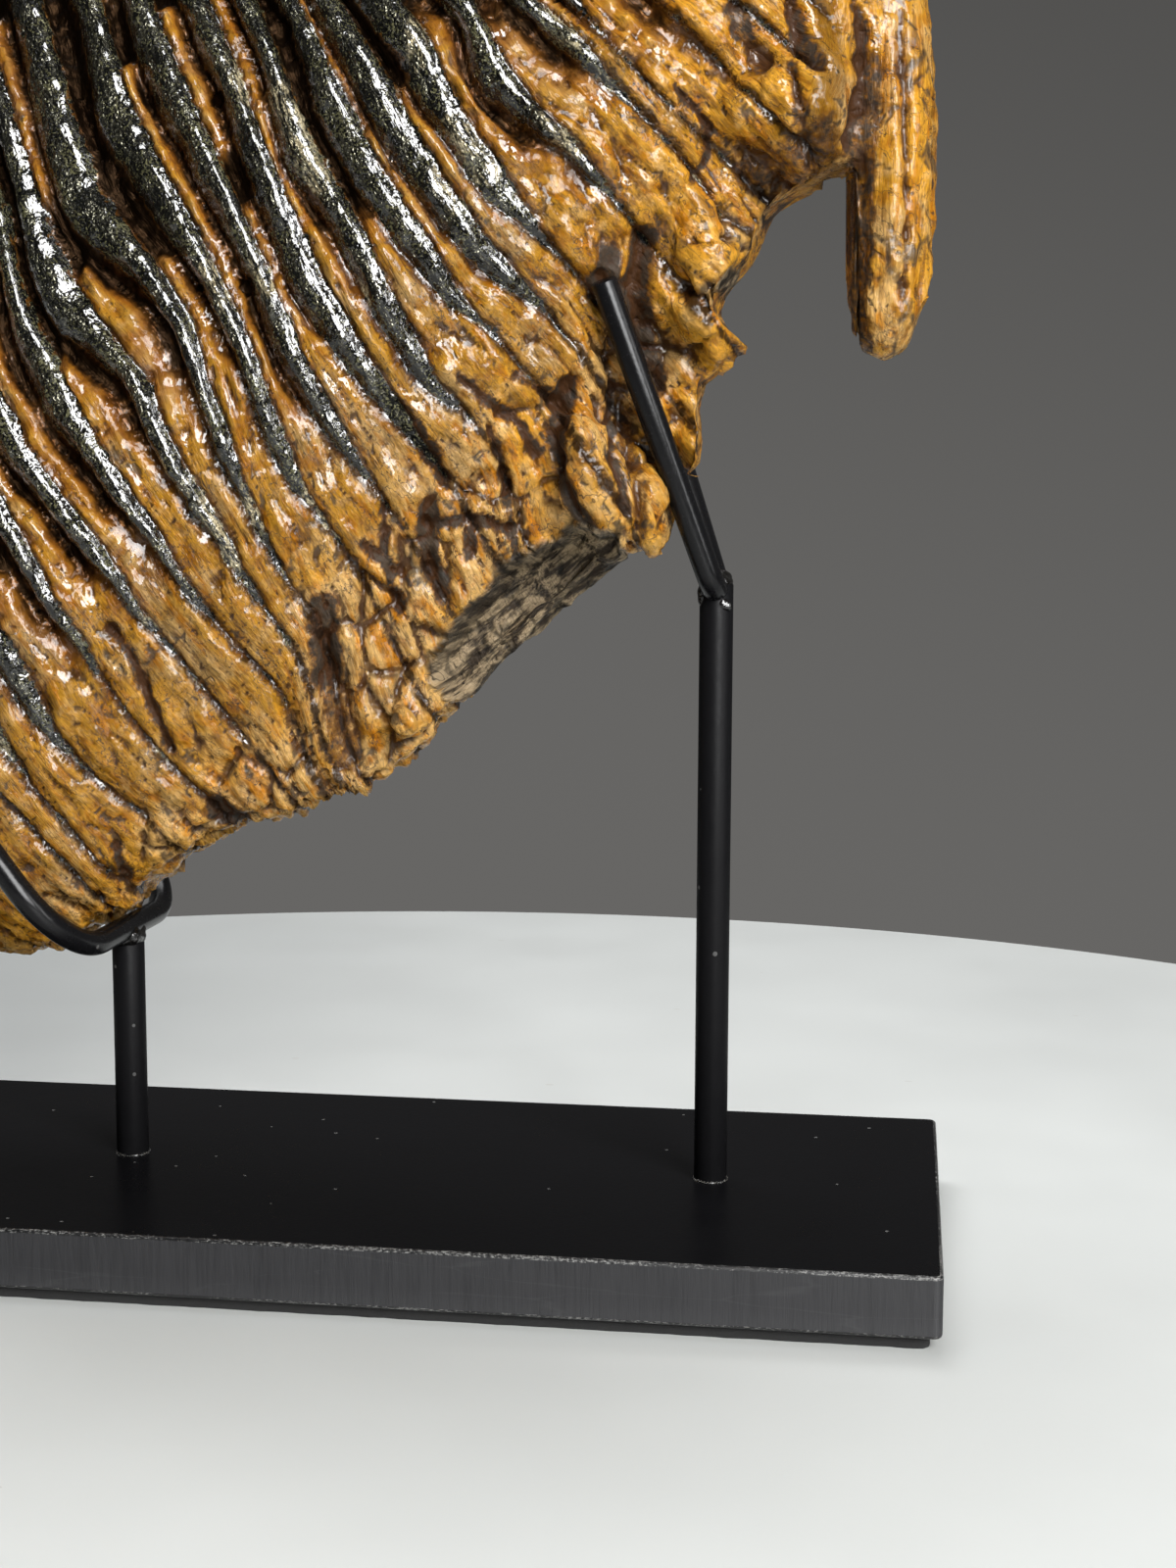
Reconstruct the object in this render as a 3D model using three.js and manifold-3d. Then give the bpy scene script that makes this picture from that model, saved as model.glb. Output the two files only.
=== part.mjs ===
// A fossil mammoth molar on its display stand, as a three.js scene graph.
//
// Millimetres, +Z up. The origin is the middle of the stand's underside, on the surface it stands on.
// +X runs towards the front end of the tooth and +Y away from its showing side.
// The tooth is a stack of upright plates. It stands on its lower back corner, its root side facing
// down and to the front, its chewing surface up. A forked rod holds the root side near the front,
// and a cradle rod carries the lower back corner. Each rod is welded to a post, and both posts
// stand in a flat base with a thin felt sheet under it.

import * as THREE from 'three';
import { LoftGeometry } from 'three/addons/geometries/LoftGeometry.js';
import { mergeVertices } from 'three/addons/utils/BufferGeometryUtils.js';
import Module from 'manifold-3d';

// Base and felt
const BASE_LENGTH = 300;
const BASE_DEPTH = 124;
const BASE_THICKNESS = 14;
const BASE_CORNER = 2;
const BASE_EDGE = 0.8;
const FELT_THICKNESS = 3;
const FELT_INSET = 3;

// Rods and posts
const POST_DIAMETER = 8;
const ROD_DIAMETER = 5.7;
const POST_SOCKET_DEPTH = 8;
const CLEARANCE = 0.3;
const POST_SIDES = 24;
const ROD_SIDES = 12;

// Where the posts stand, and the rods on them
const LEFT_POST_X = -52;
const RIGHT_POST_X = 95.4;
const CRADLE_Z = 74.8;
const CRADLE_HALF_WIDTH = 39.5;
const CRADLE_PRONG = new THREE.Vector3(-36.5, 2, 50);
const CRADLE_BEND = 24;
const FORK_X = 95.6;
const FORK_Z = 158;
const FORK_FRONT_PRONG = new THREE.Vector3(-24.6, -26, 71.5);
const FORK_REAR_PRONG = new THREE.Vector3(-26, 26, 71.5);
const FORK_BEND = 9;

// Tooth. U runs along the root side from the back end to the front end, V runs from the root side
// up to the chewing surface, and the whole tooth is turned by its tilt about Y.
const TOOTH_TILT = THREE.MathUtils.degToRad(40);
const TOOTH_BACK_CORNER = new THREE.Vector3(-86, 0, 65);
const PLATE_COUNT = 25;
const PLATE_SPACING = 13.1;
const FIRST_PLATE_U = 4;
const LEAN_PIVOT_V = 30;
const RIDGE_HEIGHT = 1.1;
const RING_POINTS = 38;
const BACK_END = -0.85;
const FRONT_END = PLATE_COUNT - 0.15;

// How the tooth's outline and thickness change along its plates: [plate number, millimetres].
const ROOT_LINE = [
  [-1, 26], [0, 2], [1.5, -8], [4.5, -14], [7, -25], [9, -34], [12, -31], [14.5, -28],
  [16, -17], [18, -4], [19.5, 9], [21, 14], [23, 19], [24, 31], [25, 44],
];
const CROWN_LINE = [
  [-1, 40], [0, 88], [2, 139], [4, 171], [6, 192], [8, 201], [10, 195], [13, 178],
  [15, 168], [17, 155], [20, 134], [22, 114], [24, 86], [25, 64],
];
const CROWN_HALF_WIDTH = [[-1, 34], [2, 42], [8, 46], [14, 45], [20, 39], [25, 30]];
const ROOT_HALF_WIDTH = [[-1, 26], [2, 31], [6, 29], [10, 24], [14, 17], [17, 12], [20, 17], [25, 18]];
const HOLLOW_DEPTH = [[-1, 0], [3, 0], [6, 7], [10, 12], [14, 11], [17, 4], [19, 0], [25, 0]];

const wasm = await Module();
wasm.setup();

const paint = (name, color, roughness) =>
  new THREE.MeshStandardMaterial({ name, color, roughness, metalness: 0.1 });
const basePaint = paint('base paint', 0x1b1b1d, 0.35);
const rodPaint = paint('rod paint', 0x101012, 0.4);
const felt = new THREE.MeshStandardMaterial({ color: 0x0c0c0c, roughness: 0.95, metalness: 0 });
const fossil = new THREE.MeshStandardMaterial({ color: 0xa5702f, roughness: 0.3, metalness: 0 });

// Solids

function toSolid(geometry) {
  const bare = new THREE.BufferGeometry();
  bare.setAttribute('position', geometry.getAttribute('position'));
  bare.setIndex(geometry.index);
  const merged = mergeVertices(bare, 1e-4);
  const corners = merged.index.array;
  const triangles = [];
  for (let i = 0; i < corners.length; i += 3) {
    const [a, b, c] = corners.slice(i, i + 3);
    if (a !== b && b !== c && c !== a) triangles.push(a, b, c);
  }
  return new wasm.Manifold(new wasm.Mesh({
    numProp: 3,
    vertProperties: new Float32Array(merged.attributes.position.array),
    triVerts: new Uint32Array(triangles),
  }));
}

function toGeometry(solid) {
  const mesh = solid.getMesh();
  const geometry = new THREE.BufferGeometry();
  geometry.setAttribute('position', new THREE.BufferAttribute(mesh.vertProperties, 3));
  geometry.setIndex(new THREE.BufferAttribute(mesh.triVerts, 1));
  geometry.computeVertexNormals();
  return geometry;
}

function named(name, geometry, material) {
  const mesh = new THREE.Mesh(geometry, material);
  mesh.name = name;
  return mesh;
}

function uprightCylinder(diameter, bottomZ, topZ, x, sides = POST_SIDES) {
  const height = topZ - bottomZ;
  const geometry = new THREE.CylinderGeometry(diameter / 2, diameter / 2, height, sides);
  return geometry.rotateX(Math.PI / 2).translate(x, 0, bottomZ + height / 2);
}

function ellipsoid(at, size, lean = 0, widthSegments = 18, heightSegments = 12) {
  const geometry = new THREE.SphereGeometry(1, widthSegments, heightSegments);
  geometry.rotateX(Math.PI / 2).scale(...size).rotateY(lean);
  return geometry.translate(...at);
}

// Flat pieces

function roundedSlab(length, depth, bottomZ, topZ, corner, edge) {
  const x = length / 2 - edge;
  const y = depth / 2 - edge;
  const r = corner;
  const outline = new THREE.Shape();
  outline.moveTo(-x + r, -y).lineTo(x - r, -y).absarc(x - r, -y + r, r, -Math.PI / 2, 0);
  outline.lineTo(x, y - r).absarc(x - r, y - r, r, 0, Math.PI / 2);
  outline.lineTo(-x + r, y).absarc(-x + r, y - r, r, Math.PI / 2, Math.PI);
  outline.lineTo(-x, -y + r).absarc(-x + r, -y + r, r, Math.PI, Math.PI * 1.5);
  const slab = new THREE.ExtrudeGeometry(outline, {
    depth: topZ - bottomZ - 2 * edge,
    bevelEnabled: edge > 0,
    bevelSize: edge,
    bevelThickness: edge,
    bevelSegments: 2,
    curveSegments: 3,
  });
  return slab.translate(0, 0, bottomZ + edge);
}

const baseTopZ = FELT_THICKNESS + BASE_THICKNESS;
const socketFloorZ = baseTopZ - POST_SOCKET_DEPTH;

function makeBase() {
  let base = toSolid(roundedSlab(
    BASE_LENGTH, BASE_DEPTH, FELT_THICKNESS, baseTopZ, BASE_CORNER, BASE_EDGE));
  for (const x of [LEFT_POST_X, RIGHT_POST_X]) {
    const socket = uprightCylinder(POST_DIAMETER + 2 * CLEARANCE, socketFloorZ, baseTopZ + 5, x);
    base = base.subtract(toSolid(socket));
  }
  return base;
}

function makeFelt() {
  const length = BASE_LENGTH - 2 * FELT_INSET;
  const depth = BASE_DEPTH - 2 * FELT_INSET;
  return roundedSlab(length, depth, 0, FELT_THICKNESS - CLEARANCE, BASE_CORNER, 0);
}

// Bent rods

function bentRodPath(corners, bend) {
  const path = new THREE.CurvePath();
  let from = corners[0];
  for (let i = 1; i < corners.length - 1; i++) {
    const corner = corners[i];
    const before = corner.clone().add(from.clone().sub(corner).setLength(bend));
    const after = corner.clone().add(corners[i + 1].clone().sub(corner).setLength(bend));
    path.add(new THREE.LineCurve3(from, before));
    path.add(new THREE.QuadraticBezierCurve3(before, corner, after));
    from = after;
  }
  path.add(new THREE.LineCurve3(from, corners.at(-1)));
  return path;
}

function rodAlong(path, diameter, steps) {
  const section = new THREE.Shape().absarc(0, 0, diameter / 2, 0, 2 * Math.PI);
  return new THREE.ExtrudeGeometry(section, {
    extrudePath: path,
    steps,
    curveSegments: ROD_SIDES / 2,
    bevelEnabled: false,
  });
}

function cradlePath() {
  const prong = CRADLE_PRONG;
  const front = new THREE.Vector3(LEFT_POST_X, -CRADLE_HALF_WIDTH, CRADLE_Z);
  const rear = new THREE.Vector3(LEFT_POST_X, CRADLE_HALF_WIDTH, CRADLE_Z);
  const frontTip = front.clone().add(new THREE.Vector3(prong.x, -prong.y, prong.z));
  const rearTip = rear.clone().add(prong);
  return bentRodPath([frontTip, front, rear, rearTip], CRADLE_BEND);
}

function forkPath() {
  const bend = new THREE.Vector3(FORK_X, 0, FORK_Z);
  const frontTip = bend.clone().add(FORK_FRONT_PRONG);
  const rearTip = bend.clone().add(FORK_REAR_PRONG);
  return bentRodPath([frontTip, bend, rearTip], FORK_BEND);
}

const CRADLE_STEPS = 44;
const FORK_STEPS = 32;
const cradle = rodAlong(cradlePath(), ROD_DIAMETER, CRADLE_STEPS);
const fork = rodAlong(forkPath(), ROD_DIAMETER, FORK_STEPS);
const rodRoom = toSolid(rodAlong(cradlePath(), ROD_DIAMETER + 2 * CLEARANCE, CRADLE_STEPS))
  .add(toSolid(rodAlong(forkPath(), ROD_DIAMETER + 2 * CLEARANCE, FORK_STEPS)));

// Each post ends in a bead of weld that wraps the underside of its rod.
function makePost(x, topZ, beads) {
  const bottomZ = socketFloorZ + CLEARANCE;
  let post = toSolid(uprightCylinder(POST_DIAMETER, bottomZ, topZ, x));
  for (const bead of beads) post = post.add(toSolid(ellipsoid(bead.at, bead.size)));
  return post.subtract(rodRoom);
}

function makeLeftPost() {
  const x = LEFT_POST_X;
  return makePost(x, CRADLE_Z - 0.4, [
    { at: [x + 0.4, 0, CRADLE_Z - 3], size: [4.6, 5.6, 3.4] },
    { at: [x + 2.2, -2, CRADLE_Z - 1.6], size: [2.4, 3.4, 2.8] },
  ]);
}

function makeRightPost() {
  const x = RIGHT_POST_X;
  return makePost(x, FORK_Z + 3, [
    { at: [x, 0, FORK_Z - 0.6], size: [4.5, 4.9, 3.6] },
    { at: [x - 3, -1.2, FORK_Z - 2], size: [1.7, 2.4, 3.2] },
  ]);
}

// Tooth

function along(stations) {
  const positions = stations.map(([plate]) => plate);
  const values = stations.map(([, value]) => value);
  const curve = new THREE.CubicInterpolant(positions, values, 1);
  return (plate) => curve.evaluate(plate)[0];
}

const rootLine = along(ROOT_LINE);
const crownLine = along(CROWN_LINE);
const crownHalfWidth = along(CROWN_HALF_WIDTH);
const rootHalfWidth = along(ROOT_HALF_WIDTH);
const hollowDepth = along(HOLLOW_DEPTH);
const { smoothstep, lerp } = THREE.MathUtils;

// The middle plates lean forward, and the front ones lean back a little.
function leanOf(plate) {
  return 0.27 * Math.exp(-(((plate - 10.5) / 6) ** 2)) - 0.04 * Math.log1p(Math.exp(plate - 17));
}

// Both ends of the tooth are rounded.
function endTaper(plate) {
  const middle = (PLATE_COUNT - 1) / 2;
  const reach = Math.abs(plate - middle) / (middle + 0.95);
  return Math.pow(1 - reach ** 6, 1 / 2.2);
}

function plateRing(plate) {
  const ring = [];
  const low = rootLine(plate);
  const high = crownLine(plate);
  for (let j = 0; j < RING_POINTS; j++) {
    const angle = (2 * Math.PI * j) / RING_POINTS;
    const rise = -Math.cos(angle);
    const side = Math.sin(angle);
    const height = 0.5 + 0.5 * Math.sign(rise) * Math.abs(rise) ** 0.6;
    const swell = lerp(rootHalfWidth(plate), crownHalfWidth(plate), smoothstep(height, 0, 0.5));
    const halfWidth = swell * (1 - 0.2 * smoothstep(height, 0.55, 1)) * endTaper(plate);
    const outward = Math.abs(side) ** 0.5;
    const ridge = RIDGE_HEIGHT * Math.cos(2 * Math.PI * plate) * smoothstep(height, 0.08, 0.3);
    const y = Math.sign(side) * (halfWidth + ridge) * outward;
    const underside = 1 - smoothstep(outward, 0.2, 0.75);
    const hollow = height < 0.3 ? hollowDepth(plate) * underside : 0;
    const v = lerp(low, high, height) + hollow + (height > 0.9 ? ridge : 0);
    const u = FIRST_PLATE_U + PLATE_SPACING * plate + leanOf(plate) * (v - LEAN_PIVOT_V);
    ring.push(new THREE.Vector3(u, y, v));
  }
  return ring;
}

function plateStack() {
  const plates = [BACK_END, -0.7];
  for (let half = -1; half <= 2 * PLATE_COUNT - 2; half++) plates.push(half / 2);
  plates.push(FRONT_END - 0.5, FRONT_END - 0.1);
  const stack = new LoftGeometry(plates.map(plateRing), { capStart: true, capEnd: true });
  const corner = TOOTH_BACK_CORNER;
  return stack.rotateY(-TOOTH_TILT).translate(corner.x, corner.y, corner.z);
}

// Root lobes along the front half of the root side: [centre], [half sizes], lean.
const ROOT_LOBES = [
  { at: [65, -14, 187], size: [9, 11, 22], lean: -0.25 },
  { at: [75, -7, 183], size: [8, 11, 14], lean: -0.1 },
  { at: [85, 1, 203], size: [6.5, 7, 15], lean: 0 },
  { at: [93, -9, 238], size: [8, 14, 28], lean: -0.1 },
  { at: [114, -8, 268], size: [13, 22, 17], lean: 0 },
];

// The wall on the showing side is broken away in a scoop near the fork.
const ROOT_SCOOP = { at: [53, -32, 152], size: [20, 18, 13], lean: -0.7 };

// The front root hangs free, like a blunt finger: [radius, height above its tip].
const FRONT_ROOT_TIP = new THREE.Vector3(133.4, -2, 213);
const FRONT_ROOT_DEPTH_SCALE = 1.25;
const FRONT_ROOT_PROFILE = [
  [0, 0], [5.5, 0.6], [8, 4], [9.6, 12], [10.4, 26], [10.9, 42], [10.6, 56], [9.6, 70], [8, 82], [0, 86],
];

function frontRoot() {
  const profile = FRONT_ROOT_PROFILE.map(([radius, height]) => new THREE.Vector2(radius, height));
  const finger = new THREE.LatheGeometry(profile, 20);
  finger.rotateX(Math.PI / 2).scale(1, FRONT_ROOT_DEPTH_SCALE, 1);
  return finger.translate(FRONT_ROOT_TIP.x, FRONT_ROOT_TIP.y, FRONT_ROOT_TIP.z);
}

function makeTooth() {
  let tooth = toSolid(plateStack()).add(toSolid(frontRoot()));
  for (const lobe of ROOT_LOBES) tooth = tooth.add(toSolid(ellipsoid(lobe.at, lobe.size, lobe.lean)));
  const scoop = toSolid(ellipsoid(ROOT_SCOOP.at, ROOT_SCOOP.size, ROOT_SCOOP.lean));
  const pieces = tooth.subtract(scoop).subtract(rodRoom).decompose();
  return pieces.reduce((largest, piece) => (piece.volume() > largest.volume() ? piece : largest));
}

const model = new THREE.Group();
model.add(
  named('base_plate', toGeometry(makeBase()), basePaint),
  named('felt_sheet', makeFelt(), felt),
  named('left_post', toGeometry(makeLeftPost()), rodPaint),
  named('right_post', toGeometry(makeRightPost()), rodPaint),
  named('left_cradle', cradle, rodPaint),
  named('right_fork', fork, rodPaint),
  named('mammoth_tooth', toGeometry(makeTooth()), fossil),
);

export default model;
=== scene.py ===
"""A fossil mammoth tooth on its bent-rod stand: the finished surfaces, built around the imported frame.

All lengths in the code are metres unless a name or a comment says millimetres. The tooth's own axes
are u, along its root side from back to front, and v, from the root side up to the chewing surface.
"""

import math

import bmesh
import bpy
import numpy as np
from bpy.props import FloatProperty, FloatVectorProperty, IntProperty, PointerProperty
from mathutils import Matrix, Quaternion, Vector, noise


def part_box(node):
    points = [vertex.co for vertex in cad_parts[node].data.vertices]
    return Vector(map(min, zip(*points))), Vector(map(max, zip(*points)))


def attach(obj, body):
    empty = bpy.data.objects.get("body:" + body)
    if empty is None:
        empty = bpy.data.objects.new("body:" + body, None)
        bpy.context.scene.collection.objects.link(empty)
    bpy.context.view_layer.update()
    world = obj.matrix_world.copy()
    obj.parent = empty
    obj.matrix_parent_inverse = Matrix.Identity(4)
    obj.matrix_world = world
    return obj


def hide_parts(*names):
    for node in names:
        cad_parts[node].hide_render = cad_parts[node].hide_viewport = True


bl_info = {
    "name": "Fossil Mammoth Tooth",
    "version": (1, 0, 0),
    "blender": (4, 5, 0),
    "location": "3D View > Sidebar > Fossil Tooth",
    "description": "Builds a varnished mammoth tooth and its bent-rod stand around the packed frame",
    "category": "Object",
}

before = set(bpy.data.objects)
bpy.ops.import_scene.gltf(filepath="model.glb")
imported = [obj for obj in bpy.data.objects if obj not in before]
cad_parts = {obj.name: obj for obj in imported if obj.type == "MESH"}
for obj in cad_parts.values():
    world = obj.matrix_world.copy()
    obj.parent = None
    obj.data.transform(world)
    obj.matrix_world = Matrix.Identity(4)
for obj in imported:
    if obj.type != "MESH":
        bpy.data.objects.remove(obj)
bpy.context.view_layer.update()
MM = 0.001
ROD_DIAMETER = 6.0 * MM
CRADLE_BEND = 20.5 * MM
FORK_BEND = 26 * MM


# ---------------------------------------------------------------- sizes and colours a user would change

def length(name, description, default):
    return FloatProperty(name=name, description=description, default=default, min=0, subtype="DISTANCE")


def colour(name, description, default):
    return FloatVectorProperty(
        name=name, description=description, default=default, size=3, min=0, max=1, subtype="COLOR")


class ToothSettings(bpy.types.PropertyGroup):
    coarse_size: length("Mesh size", "Face size of the whole tooth", 2.05 * MM)
    groove_depth: length("Groove depth", "How far the enamel rolls stand out of their gaps", 4.2 * MM)
    gap_depth: length("Gap depth", "Depth of the open gaps between the enamel rolls", 6.0 * MM)
    lump_height: length("Lump height", "Relief of the lumps over the roots", 2.2 * MM)
    enamel: colour("Enamel", "Dark enamel of the rolls", (0.006, 0.006, 0.005))
    enamel_speckle: colour("Enamel speckle", "Grey-green grains in the enamel", (0.12, 0.115, 0.06))
    ivory: colour("Ivory", "Pale patches of enamel", (0.56, 0.48, 0.30))
    ochre: colour("Ochre", "Main colour of the cementum", (0.47, 0.225, 0.02))
    orange: colour("Orange", "Deep glossy cementum", (0.38, 0.14, 0.006))
    tan: colour("Tan", "Pale dull cementum", (0.45, 0.275, 0.10))
    infill: colour("Infill", "Dark grey filling in cracks and gaps", (0.035, 0.033, 0.03))


class StandSettings(bpy.types.PropertyGroup):
    rod_diameter: length("Rod diameter", "Thickness of the cradle and the fork", ROD_DIAMETER)
    post_diameter: length("Post diameter", "Thickness of the two posts", 8 * MM)
    cradle_bend: length("Cradle bend", "Distance from the cradle's corners to its straight runs", CRADLE_BEND)
    fork_bend: length("Fork bend", "Distance from the fork's corner to its straight prongs", FORK_BEND)
    rod_sides: IntProperty(name="Rod sides", description="Faces round each rod", default=40, min=12)
    paint: colour("Paint", "Black paint of the rods and the base", (0.0035, 0.0035, 0.0042))


class StageSettings(bpy.types.PropertyGroup):
    table_radius: length("Table radius", "Radius of the round table top under the stand", 0.474)
    table_thickness: length("Table thickness", "Thickness of the table top", 0.02)
    table_colour: colour("Table colour", "Pale finish of the table top", (0.655, 0.68, 0.675))
    backdrop: colour("Backdrop", "Grey behind the table", (0.135, 0.132, 0.127))
    room_light: FloatProperty(
        name="Room light", description="Light of the room in front, as a share of the backdrop",
        default=0.2, min=0)


def lerp(first, second, share):
    return first + (second - first) * share


# ---------------------------------------------------------------- meshes

def new_piece(name, bm, material_slot, *nodes, smooth=True):
    """Turns a bmesh into a finished piece that rides on the stand and stands for its CAD nodes."""
    mesh = bpy.data.meshes.new(name)
    bm.to_mesh(mesh)
    bm.free()
    piece = bpy.data.objects.new(name, mesh)
    bpy.context.scene.collection.objects.link(piece)
    for polygon in mesh.polygons:
        polygon.use_smooth = smooth
    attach(piece, "root")
    if nodes:
        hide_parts(*nodes)
    return piece


def voxel_remeshed(bm, voxel):
    """One closed skin round everything in a bmesh, as a new bmesh."""
    mesh = bpy.data.meshes.new("form")
    bm.to_mesh(mesh)
    bm.free()
    form = bpy.data.objects.new("form", mesh)
    bpy.context.scene.collection.objects.link(form)
    remesh = form.modifiers.new("skin", "REMESH")
    remesh.mode = "VOXEL"
    remesh.voxel_size = voxel
    skin = form.evaluated_get(bpy.context.evaluated_depsgraph_get()).to_mesh()
    result = bmesh.new()
    result.from_mesh(skin)
    bpy.data.objects.remove(form)
    bpy.data.meshes.remove(mesh)
    return result


def smooth_all(bm, rounds, strength=0.5):
    for _ in range(rounds):
        bmesh.ops.smooth_vert(bm, verts=bm.verts, factor=strength, use_axis_x=True, use_axis_y=True,
                              use_axis_z=True)


def set_attribute(mesh, name, values):
    """Keeps one number or one vector a vertex for the materials to read."""
    kind, field = ("FLOAT", "value") if values.ndim == 1 else ("FLOAT_VECTOR", "vector")
    attribute = mesh.attributes.new(name, kind, "POINT")
    attribute.data.foreach_set(field, values.astype(np.float32).ravel())


def swept_rod(points, radius, sides, chamfer=0.3 * MM):
    """A closed round rod along a list of points, by pushing a ring of edges from each to the next."""
    bm = bmesh.new()
    points = [Vector(p) for p in points]
    heading = (points[1] - points[0]).normalized()
    turn = heading.to_track_quat("Z", "Y").to_matrix().to_4x4()
    bmesh.ops.create_circle(
        bm, cap_ends=False, segments=sides, radius=radius, matrix=Matrix.Translation(points[0]) @ turn)
    first_ring = bm.edges[:]
    ring = first_ring
    for here, there, beyond in zip(points, points[1:], points[2:] + [None]):
        pushed = bmesh.ops.extrude_edge_only(bm, edges=ring)["geom"]
        ring = [g for g in pushed if isinstance(g, bmesh.types.BMEdge)]
        corners = [g for g in pushed if isinstance(g, bmesh.types.BMVert)]
        bmesh.ops.translate(bm, verts=corners, vec=there - here)
        ahead = (there - here).normalized()
        if beyond is not None:
            ahead = (ahead + (beyond - there).normalized()).normalized()
        swing = heading.rotation_difference(ahead).to_matrix()
        bmesh.ops.rotate(bm, verts=corners, cent=there, matrix=swing)
        heading = ahead
    for end in (first_ring, ring):
        bmesh.ops.contextual_create(bm, geom=end)
    bmesh.ops.recalc_face_normals(bm, faces=bm.faces)
    if chamfer:
        bmesh.ops.bevel(bm, geom=first_ring + ring, offset=chamfer, affect="EDGES", segments=2,
                        profile=0.5, material=-1)
    return bm


def bent_path(corners, bend, steps):
    """Points along straight runs joined by rounded corners."""
    corners = [Vector(c) for c in corners]
    points = [corners[0]]
    for before, corner, after in zip(corners, corners[1:], corners[2:]):
        start = corner + (before - corner).normalized() * bend
        end = corner + (after - corner).normalized() * bend
        half_angle = (before - corner).angle(after - corner) / 2
        centre = corner + ((start + end) / 2 - corner) / math.cos(half_angle) ** 2
        sweep = (start - centre).rotation_difference(end - centre)
        for step in range(steps + 1):
            partial = Quaternion().slerp(sweep, step / steps)
            points.append(centre + partial @ (start - centre))
    points.append(corners[-1])
    return points


# ---------------------------------------------------------------- shader building blocks

def place(tree, kind, inputs=(), **settings):
    """Adds a shader node, sets its fields, and fills its inputs with values or links."""
    node = tree.nodes.new("ShaderNode" + kind)
    for field, value in settings.items():
        setattr(node, field, value)
    for socket, value in dict(inputs).items():
        if isinstance(value, bpy.types.NodeSocket):
            tree.links.new(value, node.inputs[socket])
        else:
            node.inputs[socket].default_value = value
    return node


def calculate(tree, operation, *values):
    """The result of one Math node."""
    return place(tree, "Math", enumerate(values), operation=operation).outputs[0]


def chained(tree, operation, values):
    """The result of the same Math node over and over, from the first value to the last."""
    result, *others = values
    for other in others:
        result = calculate(tree, operation, result, other)
    return result


def times(tree, *values):
    return chained(tree, "MULTIPLY", values)


def plus(tree, *values):
    return chained(tree, "ADD", values)


def minus(tree, first, second):
    return calculate(tree, "SUBTRACT", first, second)


def largest(tree, *values):
    return chained(tree, "MAXIMUM", values)


def fade(tree, value, low, high):
    """0 at low, 1 at high, smooth between; low may be the larger."""
    inputs = {"Value": value, "From Min": low, "From Max": high}
    return place(tree, "MapRange", inputs, interpolation_type="SMOOTHSTEP").outputs["Result"]


def between(tree, share, low, high):
    """Low at 0 and high at 1, in a straight line."""
    return place(tree, "MapRange", {"Value": share, "To Min": low, "To Max": high}).outputs["Result"]


def lifted(tree, share, first, second):
    """A value that goes from the first to the second with the share."""
    return place(tree, "Mix", {0: share, 2: first, 3: second}).outputs[0]


def mixed(tree, factor, first, second, mode="MIX"):
    """One colour over another; inputs 0, 6 and 7 of the Mix node are its factor and two colours."""
    first, second = [(*c, 1) if isinstance(c, (tuple, list)) and len(c) == 3 else c for c in (first, second)]
    inputs = {0: factor, 6: first, 7: second}
    return place(tree, "Mix", inputs, data_type="RGBA", blend_type=mode).outputs[2]


def washed(tree, under, shade, *shares):
    """A shade laid over a colour, as strong as its shares multiplied together."""
    return mixed(tree, times(tree, *shares), under, shade)


def scaled(tree, vector, scale):
    """A vector times a number a side."""
    scale = scale if isinstance(scale, tuple) else (scale, scale, scale)
    return place(tree, "VectorMath", {0: vector, 1: scale}, operation="MULTIPLY").outputs[0]


def dimmer(shade, share):
    return tuple(c * share for c in shade)


def cloudy(tree, vector, scale, detail=3.0, roughness=0.55, distortion=0.0):
    inputs = {"Vector": vector, "Scale": scale, "Detail": detail, "Roughness": roughness,
              "Distortion": distortion}
    return place(tree, "TexNoise", inputs).outputs["Fac"]


def thin_lines(tree, cloud, width):
    """1 on the lines where a noise crosses a half, and 0 a little way off them."""
    off = calculate(tree, "ABSOLUTE", minus(tree, cloud, 0.5))
    return fade(tree, off, width, 0.0)


def attribute(tree, name, output="Fac"):
    return place(tree, "Attribute", attribute_name=name).outputs[output]


def object_millimetres(tree):
    return scaled(tree, place(tree, "TexCoord").outputs["Object"], 1000.0)


def shader_group(name, inputs, outputs):
    """An empty node group with number or vector inputs and number outputs; returns its tree and ends."""
    tree = bpy.data.node_groups.new(name, "ShaderNodeTree")
    for label, default in inputs.items():
        kind = "NodeSocketVector" if default is None else "NodeSocketFloat"
        socket = tree.interface.new_socket(label, in_out="INPUT", socket_type=kind)
        if default is not None:
            socket.default_value = default
    for label in outputs:
        tree.interface.new_socket(label, in_out="OUTPUT", socket_type="NodeSocketFloat")
    start = tree.nodes.new("NodeGroupInput").outputs
    end = tree.nodes.new("NodeGroupOutput").inputs
    return tree, start, end


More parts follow.
